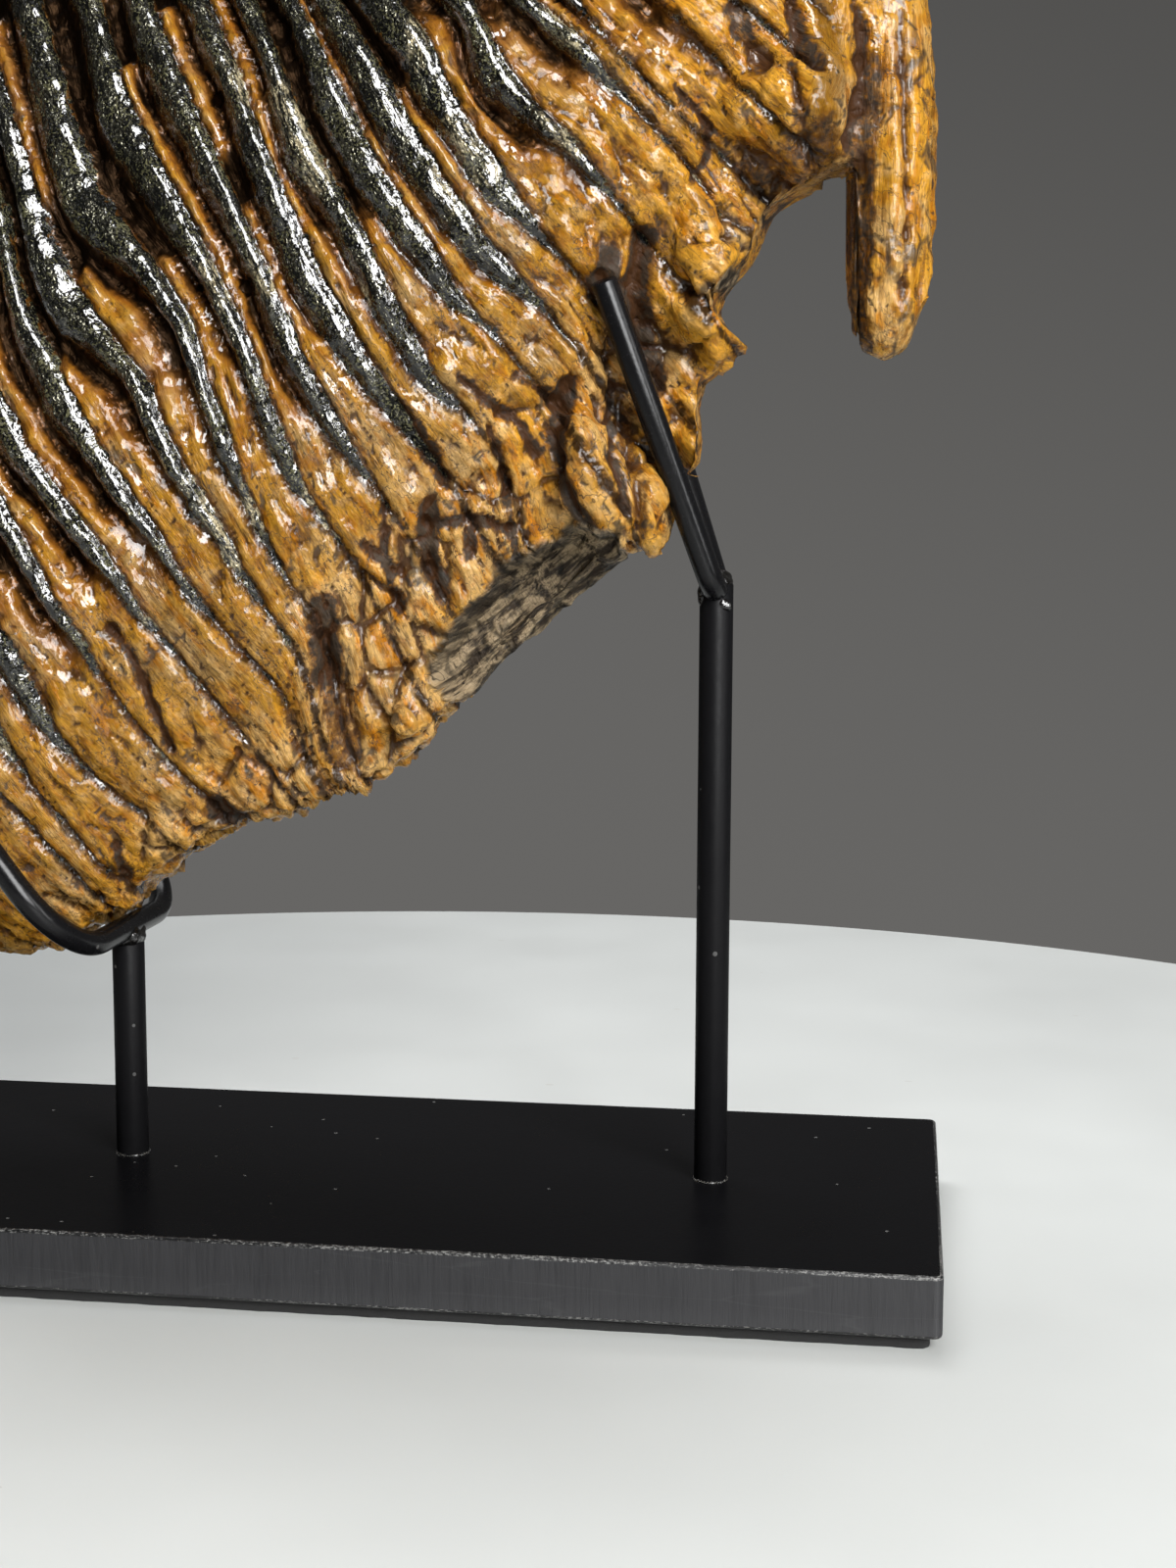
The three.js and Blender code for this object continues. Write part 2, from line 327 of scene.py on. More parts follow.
def make_crack_group():
    """Thin broken lines between irregular cells: Mask is 1 in a crack."""
    tree, start, end = shader_group(
        "Crack lines", {"Vector": None, "Scale": 0.2, "Width": 0.06, "Wander": 1.5}, ["Mask"])
    wander = place(tree, "TexNoise", {"Vector": start["Vector"], "Scale": 0.35, "Detail": 2.0})
    centred = place(tree, "VectorMath", {0: wander.outputs["Color"], 1: (0.5, 0.5, 0.5)},
                    operation="SUBTRACT").outputs[0]
    pushed = place(tree, "VectorMath", {0: centred, "Scale": start["Wander"]}, operation="SCALE").outputs[0]
    where = place(tree, "VectorMath", {0: start["Vector"], 1: pushed}, operation="ADD").outputs[0]
    lines = place(tree, "TexVoronoi", {"Vector": where, "Scale": start["Scale"]},
                  feature="DISTANCE_TO_EDGE").outputs["Distance"]
    broken_up = cloudy(tree, start["Vector"], 0.3, detail=1.0)
    width = times(tree, start["Width"], fade(tree, broken_up, 0.35, 0.65))
    mask = minus(tree, 1.0, calculate(tree, "DIVIDE", lines, plus(tree, width, 0.0001)))
    tree.links.new(largest(tree, mask, 0.0), end["Mask"])
    return tree


def make_speck_group():
    """Scattered specks of dust or chipped paint: Mask is 1 on a speck."""
    tree, start, end = shader_group(
        "Specks", {"Vector": None, "Scale": 0.3, "Size": 0.12, "Share": 0.1}, ["Mask"])
    cells = place(tree, "TexVoronoi", {"Vector": start["Vector"], "Scale": start["Scale"]}, feature="F1")
    chance = place(tree, "SeparateColor", {0: cells.outputs["Color"]}).outputs[0]
    chosen = calculate(tree, "LESS_THAN", chance, start["Share"])
    near = calculate(tree, "LESS_THAN", cells.outputs["Distance"], start["Size"])
    tree.links.new(times(tree, chosen, near), end["Mask"])
    return tree


def make_grain_group():
    """Fine directional grain: Value wavers round a half, Height is for a bump."""
    tree, start, end = shader_group(
        "Fine grain", {"Vector": None, "Scale": 1.0, "Contrast": 0.3}, ["Value", "Height"])
    fine = cloudy(tree, start["Vector"], start["Scale"], detail=2.0, roughness=0.65)
    coarse = cloudy(tree, scaled(tree, start["Vector"], 0.17), start["Scale"], detail=2.0)
    both = plus(tree, times(tree, fine, 0.7), times(tree, coarse, 0.3))
    spread = times(tree, minus(tree, both, 0.5), start["Contrast"])
    tree.links.new(plus(tree, spread, 0.5), end["Value"])
    tree.links.new(both, end["Height"])
    return tree


GROUP_MAKERS = {"Crack lines": make_crack_group, "Specks": make_speck_group, "Fine grain": make_grain_group}


def effect(tree, name, **inputs):
    """Places a shared effect in a material, building it the first time."""
    node = tree.nodes.new("ShaderNodeGroup")
    node.node_tree = bpy.data.node_groups.get(name) or GROUP_MAKERS[name]()
    for label, value in inputs.items():
        if isinstance(value, bpy.types.NodeSocket):
            tree.links.new(value, node.inputs[label])
        else:
            node.inputs[label].default_value = value
    return node.outputs


def new_material(name):
    """A material with an empty Principled shader; returns the material, its tree and the shader."""
    material = bpy.data.materials.new(name)
    material.use_nodes = True
    tree = material.node_tree
    shader = tree.nodes["Principled BSDF"]
    return material, tree, shader


def connect(tree, shader, **sockets):
    names = {"colour": "Base Color", "roughness": "Roughness", "metallic": "Metallic", "coat": "Coat Weight",
             "normal": "Normal", "coat_normal": "Coat Normal"}
    for key, value in sockets.items():
        socket = shader.inputs[names[key]]
        if isinstance(value, bpy.types.NodeSocket):
            tree.links.new(value, socket)
        else:
            socket.default_value = value


def bumped(tree, height, distance, normal=None):
    inputs = {"Height": height, "Distance": distance}
    if normal is not None:
        inputs["Normal"] = normal
    return place(tree, "Bump", inputs).outputs["Normal"]


# ---------------------------------------------------------------- stand

def bar_paint(settings, name, gloss):
    """Black paint; gloss 1 is wet looking, as on the bent rods, and 0 is satin, as on the posts."""
    material, tree, shader = new_material(name)
    mm = object_millimetres(tree)
    grain = effect(tree, "Fine grain", Vector=mm, Scale=1.4, Contrast=0.5)
    specks = effect(tree, "Specks", Vector=mm, Scale=0.22, Size=0.13, Share=0.07)["Mask"]
    black = mixed(tree, grain["Value"], tuple(settings.paint), (0.010, 0.010, 0.011))
    connect(tree, shader, colour=mixed(tree, specks, black, (0.10, 0.10, 0.10)),
            roughness=fade(tree, grain["Value"], -0.35, lerp(1.5, 2.3, gloss)),
            normal=bumped(tree, grain["Height"], 0.05 * MM))
    shader.inputs["Specular IOR Level"].default_value = lerp(0.05, 0.18, gloss)
    return material


def weld_paint():
    material, tree, shader = new_material("glossy weld bead")
    mm = object_millimetres(tree)
    lumps = cloudy(tree, mm, 0.9, detail=2.0)
    connect(tree, shader, colour=mixed(tree, lumps, (0.003, 0.003, 0.003), (0.012, 0.011, 0.010)),
            roughness=fade(tree, lumps, -0.1, 2.2), normal=bumped(tree, lumps, 0.25 * MM))
    return material


def base_paint(settings):
    material, tree, shader = new_material("satin black base paint")
    mm = object_millimetres(tree)
    grain = effect(tree, "Fine grain", Vector=mm, Scale=1.1, Contrast=0.5)
    dust = effect(tree, "Specks", Vector=mm, Scale=0.16, Size=0.07, Share=0.22)["Mask"]
    clouds = cloudy(tree, mm, 0.03, detail=4.0)
    black = mixed(tree, clouds, tuple(settings.paint), (0.006, 0.006, 0.007))
    connect(tree, shader, colour=mixed(tree, dust, black, (0.14, 0.14, 0.14)),
            roughness=fade(tree, plus(tree, clouds, grain["Value"]), -0.9, 4.3),
            normal=bumped(tree, grain["Height"], 0.03 * MM))
    shader.inputs["Specular IOR Level"].default_value = 0.05
    return material


def side_paint():
    """The sides are drier than the top, with upright sanding marks and long faint scratches, and lighter
    towards the bottom as a painted reflection of the pale table.
    """
    material, tree, shader = new_material("sanded side paint")
    mm = object_millimetres(tree)
    upright = effect(tree, "Fine grain", Vector=scaled(tree, mm, (2.2, 2.2, 0.12)), Scale=1.0, Contrast=1.0)
    scratches = effect(tree, "Crack lines", Vector=scaled(tree, mm, (0.1, 0.1, 1.0)), Scale=0.12,
                       Width=0.03, Wander=2.5)["Mask"]
    # painted reflection of the pale table: the sides lighter towards the bottom
    low = fade(tree, place(tree, "SeparateXYZ", {0: mm}).outputs["Z"], 9.0, 3.5)
    grey = mixed(tree, upright["Value"], (0.011, 0.011, 0.013), (0.021, 0.021, 0.024))
    grey = washed(tree, grey, (0.03, 0.03, 0.033), low, 0.5)
    grey = washed(tree, grey, (0.05, 0.05, 0.053), scratches, 0.25)
    connect(tree, shader, colour=grey, roughness=fade(tree, upright["Value"], -0.6, 1.4),
            normal=bumped(tree, upright["Height"], 0.06 * MM))
    shader.inputs["Specular IOR Level"].default_value = 0.36
    return material


def worn_edge_paint(settings):
    """Rounded edges, rubbed through to light specks along the very corner."""
    material, tree, shader = new_material("worn edge paint")
    mm = object_millimetres(tree)
    dashes = cloudy(tree, scaled(tree, mm, (1.1, 1.1, 2.5)), 1.0, detail=5.0, roughness=0.75)
    stretches = cloudy(tree, mm, 0.035, detail=2.0)
    worn = fade(tree, plus(tree, dashes, times(tree, stretches, 0.35)), 0.68, 0.78)
    connect(tree, shader, colour=mixed(tree, worn, tuple(settings.paint), (0.2, 0.2, 0.195)),
            roughness=between(tree, worn, 0.3, 0.55),
            normal=bumped(tree, dashes, 0.08 * MM))
    return material


BASE_CORNER = 2.0 * MM
BASE_EDGE = 0.8 * MM
TOP_PAINT, SIDE_PAINT, EDGE_PAINT = range(3)


def block_with_corners(node, corner_steps):
    """A block as large as its CAD node, with its four upright edges rounded."""
    low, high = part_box(node)
    bm = bmesh.new()
    bmesh.ops.create_cube(bm, size=1)
    bmesh.ops.scale(bm, verts=bm.verts, vec=high - low)
    bmesh.ops.translate(bm, verts=bm.verts, vec=(low + high) / 2)
    upright = [e for e in bm.edges if abs((e.verts[0].co - e.verts[1].co).z) > MM]
    bmesh.ops.bevel(bm, geom=upright, offset=BASE_CORNER, affect="EDGES", segments=corner_steps,
                    profile=0.5, material=-1)
    return bm


def make_base_plate(settings):
    bm = block_with_corners("base_plate", 6)
    rims = [e for e in bm.edges if abs((e.verts[0].co - e.verts[1].co).z) < BASE_EDGE]
    rounded = bmesh.ops.bevel(
        bm, geom=rims, offset=BASE_EDGE, affect="EDGES", segments=4, profile=0.5, material=-1)["faces"]
    for face in bm.faces:
        face.material_index = TOP_PAINT if abs(face.normal.z) > 0.99 else SIDE_PAINT
    for face in rounded:
        if abs(face.normal.z) < 0.995:
            face.material_index = EDGE_PAINT
    plate = new_piece("base_plate_painted", bm, "base_paint", "base_plate", smooth=False)
    for material in (base_paint(settings), side_paint(), worn_edge_paint(settings)):
        plate.data.materials.append(material)


FRAYING = 0.35 * MM


def make_felt():
    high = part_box("felt_sheet")[1]
    bm = block_with_corners("felt_sheet", 3)
    long_edges = [e for e in bm.edges if e.calc_length() > 100 * MM]
    bmesh.ops.subdivide_edges(bm, edges=long_edges, cuts=90, use_grid_fill=True)
    for vert in bm.verts:
        frayed = noise.noise(vert.co / (3 * MM)) * FRAYING - FRAYING
        if abs(vert.co.x) > high.x - MM:
            vert.co.x += math.copysign(frayed, vert.co.x)
        if abs(vert.co.y) > high.y - MM:
            vert.co.y += math.copysign(frayed, vert.co.y)
    felt = new_piece("felt_sheet_soft", bm, "felt", "felt_sheet")
    material, tree, shader = new_material("black felt")
    mm = object_millimetres(tree)
    fibres = effect(tree, "Fine grain", Vector=scaled(tree, mm, (1.0, 1.0, 3.0)), Scale=2.5, Contrast=1.0)
    connect(tree, shader, colour=mixed(tree, fibres["Value"], (0.004, 0.004, 0.004), (0.02, 0.02, 0.02)),
            roughness=fade(tree, fibres["Value"], -9.0, 1.2),
            normal=bumped(tree, fibres["Height"], 0.3 * MM))
    felt.data.materials.append(material)


CRADLE_SPLAY = 2.0 * MM
FORK_REACH = 22.0 * MM
FORK_TIP_INSET = 1.3 * MM
WELD_VOXEL = 0.3 * MM

# How far each post's top stands from the middle of its bent rod's corner.
LEFT_TOP_DROP = 2.0 * MM
RIGHT_TOP_DROP = 0.5 * MM
RIGHT_TOP_SHIFT = 0.7 * MM

# Lumps of weld round each post's top: offset and half sizes in mm, and tilt about Y in radians.
WELD_LUMPS = {
    "left": [((0, 0, -0.6), (4.4, 5.2, 2.6), 0), ((1.8, -2.4, 0.4), (2.6, 2.6, 2.4), 0.3),
             ((-1.8, 1.8, -0.2), (2.6, 3.4, 2.4), -0.3), ((0.6, 3.2, 0.8), (2.8, 2.4, 2.2), 0)],
    "right": [((0.3, 0, 0.4), (3.7, 3.7, 2.0), 0), ((-2.9, -0.8, -2.2), (1.6, 2.2, 3.4), 0.05),
              ((0.9, -0.8, 0.8), (2.0, 2.4, 1.8), 0.3), ((1.8, -3.0, -4.6), (2.2, 0.9, 1.4), 0.4),
              ((1.0, 1.6, 1.0), (2.6, 2.2, 2.4), 0)],
}


def cradle_corners(radius):
    """Ends and corners of the cradle's axis: up one side, across under the tooth, up the other."""
    low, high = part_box("left_cradle")
    corner = Vector((high.x - radius, high.y - radius - CRADLE_SPLAY, low.z + radius))
    rise = Vector((low.x + 0.8 * radius, high.y - radius, high.z - 0.6 * radius))
    flip = Vector((1, -1, 1))
    return [rise * flip, corner * flip, corner, rise]


def fork_corners(radius):
    """Ends and corner of the fork's axis: from one prong's tip down to the post and up to the other's."""
    low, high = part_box("right_fork")
    tip = Vector((low.x + 0.9 * radius + FORK_TIP_INSET, high.y - 0.85 * radius, high.z - 0.4 * radius))
    bend = Vector((high.x - radius, 0, low.z + radius))
    # rounding lifts the rod off its corner, so the corner is set further down the fork's axis
    bend -= (Vector((tip.x, 0, tip.z)) - bend).normalized() * FORK_REACH
    return [tip * Vector((1, -1, 1)), bend, tip]


def make_rods(settings):
    radius = settings.rod_diameter / 2
    paint = bar_paint(settings, "glossy black rod paint", 1)
    for name, node, corners, bend in (
            ("cradle_rod", "left_cradle", cradle_corners(radius), settings.cradle_bend),
            ("fork_rod", "right_fork", fork_corners(radius), settings.fork_bend)):
        path = bent_path(corners, bend, steps=20)
        rod = new_piece(name, swept_rod(path, radius, settings.rod_sides), "rod_paint", node)
        rod.data.materials.append(paint)


def add_blob(bm, at, size, tilt):
    """One lump of weld metal: a sphere stretched, tilted about Y and set down."""
    matrix = Matrix.Translation(at) @ Matrix.Rotation(tilt, 4, "Y") @ Matrix.Diagonal((*size, 1))
    bmesh.ops.create_icosphere(bm, subdivisions=3, radius=1, matrix=matrix)


def make_weld(name, node, at, lumps):
    """A bead of weld metal: overlapping lumps under one uneven skin."""
    bm = bmesh.new()
    for offset, size, tilt in lumps:
        add_blob(bm, at + Vector(offset) * MM, Vector(size) * MM, tilt)
    bm = voxel_remeshed(bm, WELD_VOXEL)
    smooth_all(bm, 2)
    for vert in bm.verts:
        vert.co += vert.normal * noise.noise(vert.co / (1.6 * MM)) * 0.22 * MM
    weld = new_piece(name, bm, "rod_paint", node)
    weld.data.materials.append(weld_paint())


def make_posts(settings):
    radius = settings.post_diameter / 2
    rod_radius = settings.rod_diameter / 2
    paint = bar_paint(settings, "satin black post paint", 0)
    cradle, fork_box = cradle_corners(rod_radius)[1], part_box("right_fork")
    base_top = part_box("base_plate")[1].z
    fork_corner_x = fork_box[1].x - rod_radius
    fork_corner_z = fork_box[0].z + rod_radius
    tops = {"left": Vector((cradle.x, 0, cradle.z - LEFT_TOP_DROP)),
            "right": Vector((fork_corner_x + RIGHT_TOP_SHIFT, 0, fork_corner_z - RIGHT_TOP_DROP))}
    for side, top in tops.items():
        node = f"{side}_post"
        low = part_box(node)[0]
        foot = Vector((top.x, 0, low.z))
        post = new_piece(
            f"{side}_post_bar", swept_rod([foot, top], radius, settings.rod_sides), "rod_paint", node)
        post.data.materials.append(paint)
        make_weld(f"{side}_weld_bead", node, top, WELD_LUMPS[side])
        make_foot_ring(f"{side}_foot_ring", node, Vector((top.x, 0, base_top)), radius)


def make_foot_ring(name, node, at, radius):
    """A thin uneven ring of dried paint where a post enters the base."""
    bm = bmesh.new()
    bead = Matrix.Translation(at + Vector((radius, 0, 0.05 * MM))) @ Matrix.Rotation(math.pi / 2, 4, "X")
    bmesh.ops.create_circle(bm, segments=10, radius=0.42 * MM, matrix=bead)
    bmesh.ops.spin(bm, geom=bm.verts[:] + bm.edges[:], cent=at, axis=(0, 0, 1), angle=2 * math.pi, steps=60,
                   use_merge=True, dvec=(0, 0, 0))
    bmesh.ops.recalc_face_normals(bm, faces=bm.faces)
    for vert in bm.verts:
        vert.co += vert.normal * (noise.noise(vert.co / (1.2 * MM)) * 0.22 - 0.05) * MM
    ring = new_piece(name, bm, "rod_paint", node)
    material, tree, shader = new_material("flecked paint ring")
    mm = object_millimetres(tree)
    flecks = fade(tree, cloudy(tree, mm, 2.4, detail=3.0, roughness=0.7), 0.52, 0.62)
    connect(tree, shader, colour=mixed(tree, flecks, (0.012, 0.012, 0.012), (0.19, 0.18, 0.16)),
            roughness=fade(tree, flecks, -0.8, 2.2), normal=bumped(tree, flecks, 0.1 * MM))
    ring.data.materials.append(material)


# ---------------------------------------------------------------- stage

CAMERA_PLACE = Vector((0.138, -0.5158, 0.1788))
CAMERA_PITCH = math.radians(82.858)
CAMERA_HEADING = math.radians(8.149)
CAMERA_ROLL = math.radians(0.21)
CAMERA_LENS_MM = 50.06
TABLE_CENTRE = Vector((0.002, -0.037, 0))


def make_camera():
    data = bpy.data.cameras.new("camera")
    data.lens = CAMERA_LENS_MM
    data.clip_start = 0.01
    camera = bpy.data.objects.new("camera", data)
    turn = Matrix.Rotation(CAMERA_HEADING, 4, "Z") @ Matrix.Rotation(CAMERA_PITCH, 4, "X")
    camera.matrix_world = Matrix.Translation(CAMERA_PLACE) @ turn @ Matrix.Rotation(CAMERA_ROLL, 4, "Z")
    bpy.context.scene.collection.objects.link(camera)
    bpy.context.scene.camera = camera


def make_table(settings):
    bm = bmesh.new()
    bmesh.ops.create_cone(
        bm, cap_ends=True, segments=256, radius1=settings.table_radius, radius2=settings.table_radius,
        depth=settings.table_thickness, matrix=Matrix.Translation(TABLE_CENTRE - Vector(
            (0, 0, settings.table_thickness / 2))))
    rims = [e for e in bm.edges if len(e.link_faces) == 2 and e.calc_face_angle() > 1]
    bmesh.ops.bevel(bm, geom=rims, offset=2.5 * MM, affect="EDGES", segments=4, profile=0.5, material=-1)
    mesh = bpy.data.meshes.new("table_top")
    bm.to_mesh(mesh)
    bm.free()
    table = bpy.data.objects.new("table_top", mesh)
    bpy.context.scene.collection.objects.link(table)
    material, tree, shader = new_material("pale table finish")
    mm = object_millimetres(tree)
    clouds = cloudy(tree, mm, 0.012, detail=5.0)
    marks = effect(tree, "Specks", Vector=scaled(tree, mm, (1.0, 2.2, 1.0)), Scale=0.035, Size=0.05,
                   Share=0.2)["Mask"]
    pale = tuple(settings.table_colour)
    white = mixed(tree, clouds, dimmer(pale, 0.965), pale)
    white = washed(tree, white, (0.45, 0.42, 0.38), marks, 0.35)
    connect(tree, shader, colour=white, roughness=fade(tree, clouds, -1.2, 2.4),
            normal=bumped(tree, cloudy(tree, mm, 0.5), 0.02 * MM))
    mesh.materials.append(material)


def add_softbox(name, place_at, aim, width, height, power, tint=(1, 1, 1), lights=True, mirrored=True):
    data = bpy.data.lights.new(name, "AREA")
    data.shape = "RECTANGLE"
    data.size, data.size_y, data.energy, data.color = width, height, power, tint
    light = bpy.data.objects.new(name, data)
    turn = (Vector(aim) - Vector(place_at)).to_track_quat("-Z", "Y").to_matrix().to_4x4()
    light.matrix_world = Matrix.Translation(place_at) @ turn
    light.visible_diffuse = lights
    light.visible_glossy = mirrored
    bpy.context.scene.collection.objects.link(light)


def make_lights(settings):
    aim = (0.0, 0.0, 0.17)
    add_softbox("key softbox", (0.75, -0.95, 0.85), aim, 0.6, 0.6, 26, (1.0, 0.985, 0.96), mirrored=False)
    add_softbox("overhead softbox", (-0.25, 0.4, 1.5), aim, 1.1, 0.8, 18)
    add_softbox("glint window", (0.62, -1.0, 0.62), aim, 0.6, 0.9, 50, lights=False)
    add_softbox("glint strip", (1.1, -0.5, 0.35), aim, 0.2, 0.7, 6, lights=False)
    add_softbox("left fill", (-1.2, -0.9, 0.9), aim, 0.5, 0.5, 1.6, mirrored=False)
    world = bpy.data.worlds.new("studio grey")
    world.use_nodes = True
    tree = world.node_tree
    direction = place(tree, "TexCoord").outputs["Generated"]
    parts = place(tree, "SeparateXYZ", {0: direction}).outputs
    climb = fade(tree, plus(tree, parts["Z"], times(tree, parts["X"], 0.25)), -0.2, 0.45)
    grey = tuple(settings.backdrop)
    seen = mixed(tree, climb, grey, dimmer(grey, 0.5))
    # the room that lights and mirrors in the object is darker than the backdrop behind it
    room_grey = dimmer(grey, settings.room_light)
    room = mixed(tree, fade(tree, parts["Y"], -0.2, 0.8), room_grey, dimmer(grey, 0.6))
    shade = mixed(tree, place(tree, "LightPath").outputs["Is Camera Ray"], room, seen)
    tree.links.new(shade, tree.nodes["Background"].inputs["Color"])
    bpy.context.scene.world = world
    bpy.context.scene.view_settings.view_transform = "Standard"


# ---------------------------------------------------------------- tooth: plates

# The tooth's axes, as in the solid: u along the root side, v up to the chewing surface, in mm.
TOOTH_TILT = math.radians(40)
BACK_CORNER = (-86.0, 65.0)
PLATE_SPACING = 13.1
FIRST_PLATE_U = 1.5
LEAN_PIVOT_V = 30.0
PLATES = range(-2, 28)

# Crests of the plates as they wander down the showing side, and the grooves between the columns of
# cementum that they become, each as (x, z) points in mm.
CREST_LINES = {
    4: [(-78, 140), (-70, 126), (-62, 112), (-54, 100)],
    5: [(-69, 150), (-64, 140), (-58, 127), (-50, 117), (-43, 110), (-36, 104)],
    6: [(-63, 174), (-58, 164), (-54, 155), (-49, 148), (-44, 139), (-38, 129), (-31, 119), (-24, 111)],
    7: [(-59, 189), (-49, 176), (-39, 163), (-34, 154), (-27, 146), (-20, 135), (-13, 125), (-8, 118)],
    8: [(-61, 242), (-58, 221), (-50, 202), (-38, 184), (-29, 171), (-24, 162), (-18, 154), (-10, 144),
        (-4, 137), (-1, 128), (1, 118)],
    9: [(-61, 262), (-54, 235), (-49, 225), (-31, 206), (-28, 196), (-20, 181), (-14, 172), (-10, 163),
        (-5, 155), (0, 147), (3, 137), (5, 122)],
    10: [(-57, 289), (-49, 262), (-44, 247), (-37, 239), (-30, 233), (-21, 220), (-16, 203), (-10, 185),
         (-5, 172), (0, 161), (5, 153), (8, 140), (10, 124)],
    11: [(-41, 288), (-36, 267), (-24, 247), (-14, 229), (-7, 214), (-2, 197), (3, 184), (11, 172),
         (17, 161), (21, 150), (26, 139)],
    12: [(-30, 288), (-20, 265), (-11, 248), (-3, 229), (4, 211), (13, 194), (21, 182), (28, 170)],
    13: [(-16, 287), (-8, 270), (0, 248), (7, 229), (18, 211), (29, 195), (37, 184), (43, 172)],
    14: [(-5, 287), (-1, 279), (6, 257), (15, 243), (25, 222), (34, 205), (42, 199), (49, 188), (52, 172)],
    15: [(5, 287), (13, 270), (22, 250), (28, 242), (40, 224), (48, 217), (57, 206)],
    16: [(14, 284), (25, 266), (35, 249), (46, 234), (60, 221)],
    17: [(26, 286), (32, 279), (36, 268), (49, 248), (64, 232)],
    18: [(43, 286), (48, 273), (56, 264), (65, 257), (74, 246)],
    19: [(57, 287), (66, 280), (73, 272), (84, 260)],
}

# Height up the tooth, in mm, where each plate's dark enamel dies out on the showing side.
ENAMEL_ENDS = {
    0: 62, 1: 54, 2: 44, 3: 34, 4: 22, 5: 12, 6: 26, 7: 20, 8: 18, 9: 14, 10: 22, 11: 18, 12: 16, 13: 10,
    14: 14, 15: 24, 16: 18, 17: 30, 18: 30, 19: 44, 20: 62, 21: 74, 22: 76, 23: 66, 24: 60,
}
ENAMEL_FADE = 30.0
THINNEST_ROLL = 0.25
LEAST_SPACING = 4.0

# Height up the tooth, in mm, of the rounded tops of the cementum columns right of some plates.
COLUMN_TOPS = {5: 44, 6: 46, 7: 46, 8: 62, 14: 61}

# Bulges and hollows on the showing side: radius and height in mm, darkness, then (x, z) points in mm. The
# darkness is dark infill, and painted shade under the bulb and down the finger's left side.
STROKES = [
    (6.5, 2.8, 0, [(64, 212), (67, 202), (66, 195), (71, 187), (74, 179)]),
    (4.5, 1.8, 0, [(79, 198), (80, 188), (81, 177)]),
    (7.0, 2.6, 0, [(83, 262), (87, 250), (88, 240), (89, 231), (90, 222)]),
    (5.0, 2.0, 0, [(90, 205), (91, 196)]),
    (4.0, 1.2, 0, [(-50, 96), (-51, 88)]),
    (2.3, -3.4, 0.9, [(62, 207), (60, 196), (61, 186), (64, 179), (69, 173)]),
    (1.7, -2.6, 0.5, [(74, 206), (74, 196), (77, 186), (78, 176)]),
    (3.0, -3.2, 0.9, [(80, 239), (77, 229), (79, 218), (81, 207)]),
    (3.2, -1.6, 0.9, [(72, 235), (70, 227)]),
    (3.6, -2.2, 0.9, [(7, 156), (7, 141)]),
    (3.8, -2.0, 0.5, [(8, 141), (9, 130), (10, 121)]),
    (2.2, -1.8, 1, [(31, 179), (31, 168), (33, 160)]),
    (1.3, -1.5, 0.9, [(31, 175), (40, 177), (49, 175)]),
    (1.2, -1.6, 0.8, [(46, 197), (48, 189), (49, 175), (50, 165)]),
    (3.4, -1.8, 1, [(-21, 108), (-18, 105)]),
    (1.2, -1.9, 0.9, [(-41, 151), (-37, 145), (-33, 133), (-30, 123)]),
    (1.4, -1.6, 0.9, [(-46, 99), (-45, 90)]),
    (1.2, -1.4, 0.8, [(17, 171), (22, 165), (24, 156)]),
    (1.2, -1.5, 0.8, [(52, 208), (58, 205), (62, 203)]),
    (0.9, -1.3, 0.45, [(135, 288), (136, 273), (137, 256), (138, 240), (137, 227)]),
    # painted shade down the finger's left side
    (2.8, -0.6, 0.62, [(129, 277), (128, 265), (127, 255), (127, 242), (126, 227), (127, 216)]),
    # painted shade along the bulb's underside, with no relief
    (4.5, 0.0, 0.52, [(103, 255), (110, 254), (119, 259)]),
    (1.4, -2.0, 0.9, [(126, 288), (127, 281), (127, 273), (126, 264), (124, 260)]),
    (2.2, -1.6, 0.7, [(99, 286), (102, 281), (106, 275)]),
    (1.9, -1.8, 0.8, [(112, 288), (113, 280), (117, 275)]),
    (0.8, -1.0, 0.9, [(87, 270), (91, 266), (94, 262), (93, 257), (90, 252)]),
    (4.6, 1.6, 0, [(105, 266), (111, 260)]),
    (4.6, 2.0, 0, [(119, 275), (118, 265)]),
    (1.3, -1.3, 0.7, [(112, 274), (114, 266), (115, 259)]),
    (0.9, -1.2, 0.9, [(22, 179), (21, 169), (26, 162)]),
    (0.9, -1.2, 0.9, [(40, 174), (40, 168)]),
    (1.0, -1.4, 0.9, [(22, 206), (28, 196), (36, 184)]),
    (0.9, -1.2, 0.9, [(27, 202), (33, 193), (36, 185)]),
    (1.2, -1.4, 0.9, [(40, 208), (47, 202), (53, 197), (55, 192)]),
    (1.2, -2.0, 0.9, [(72, 207), (71, 193), (74, 179)]),
]

# Places where the wall is broken away, pushed back from the showing side: radius and depth, then
# (x, z) points, all in mm.
BREAKS = [(8.5, 16, [(38, 141), (45, 152), (54, 161), (66, 167)]), (2.6, 5, [(101, 231), (106, 231)])]

# How far right the tooth reaches between its bulb and its root tip, as (z, x) points in mm.
RIGHT_OUTLINE = [
    (185, 130), (187, 88), (190, 90), (195, 90.5), (202, 90), (208.5, 91), (211, 96), (214, 101),
    (216.5, 101.5), (220, 97), (224, 94), (228, 94.5), (231, 96.5), (236, 101), (241.5, 103.5), (246, 105),
    (249, 108), (251, 112), (255, 130),
]

# How low the bulb hangs between there and the finger, as (x, z) points in mm.
BULB_UNDERSIDE = [(108, 230), (110, 250), (115, 252.5), (120, 255), (124, 256.5), (126, 256), (127, 230)]
FINGER_TIP = [(120, 219), (124, 217), (130, 212.5), (134, 213.5), (138, 217), (141, 226), (150, 240)]

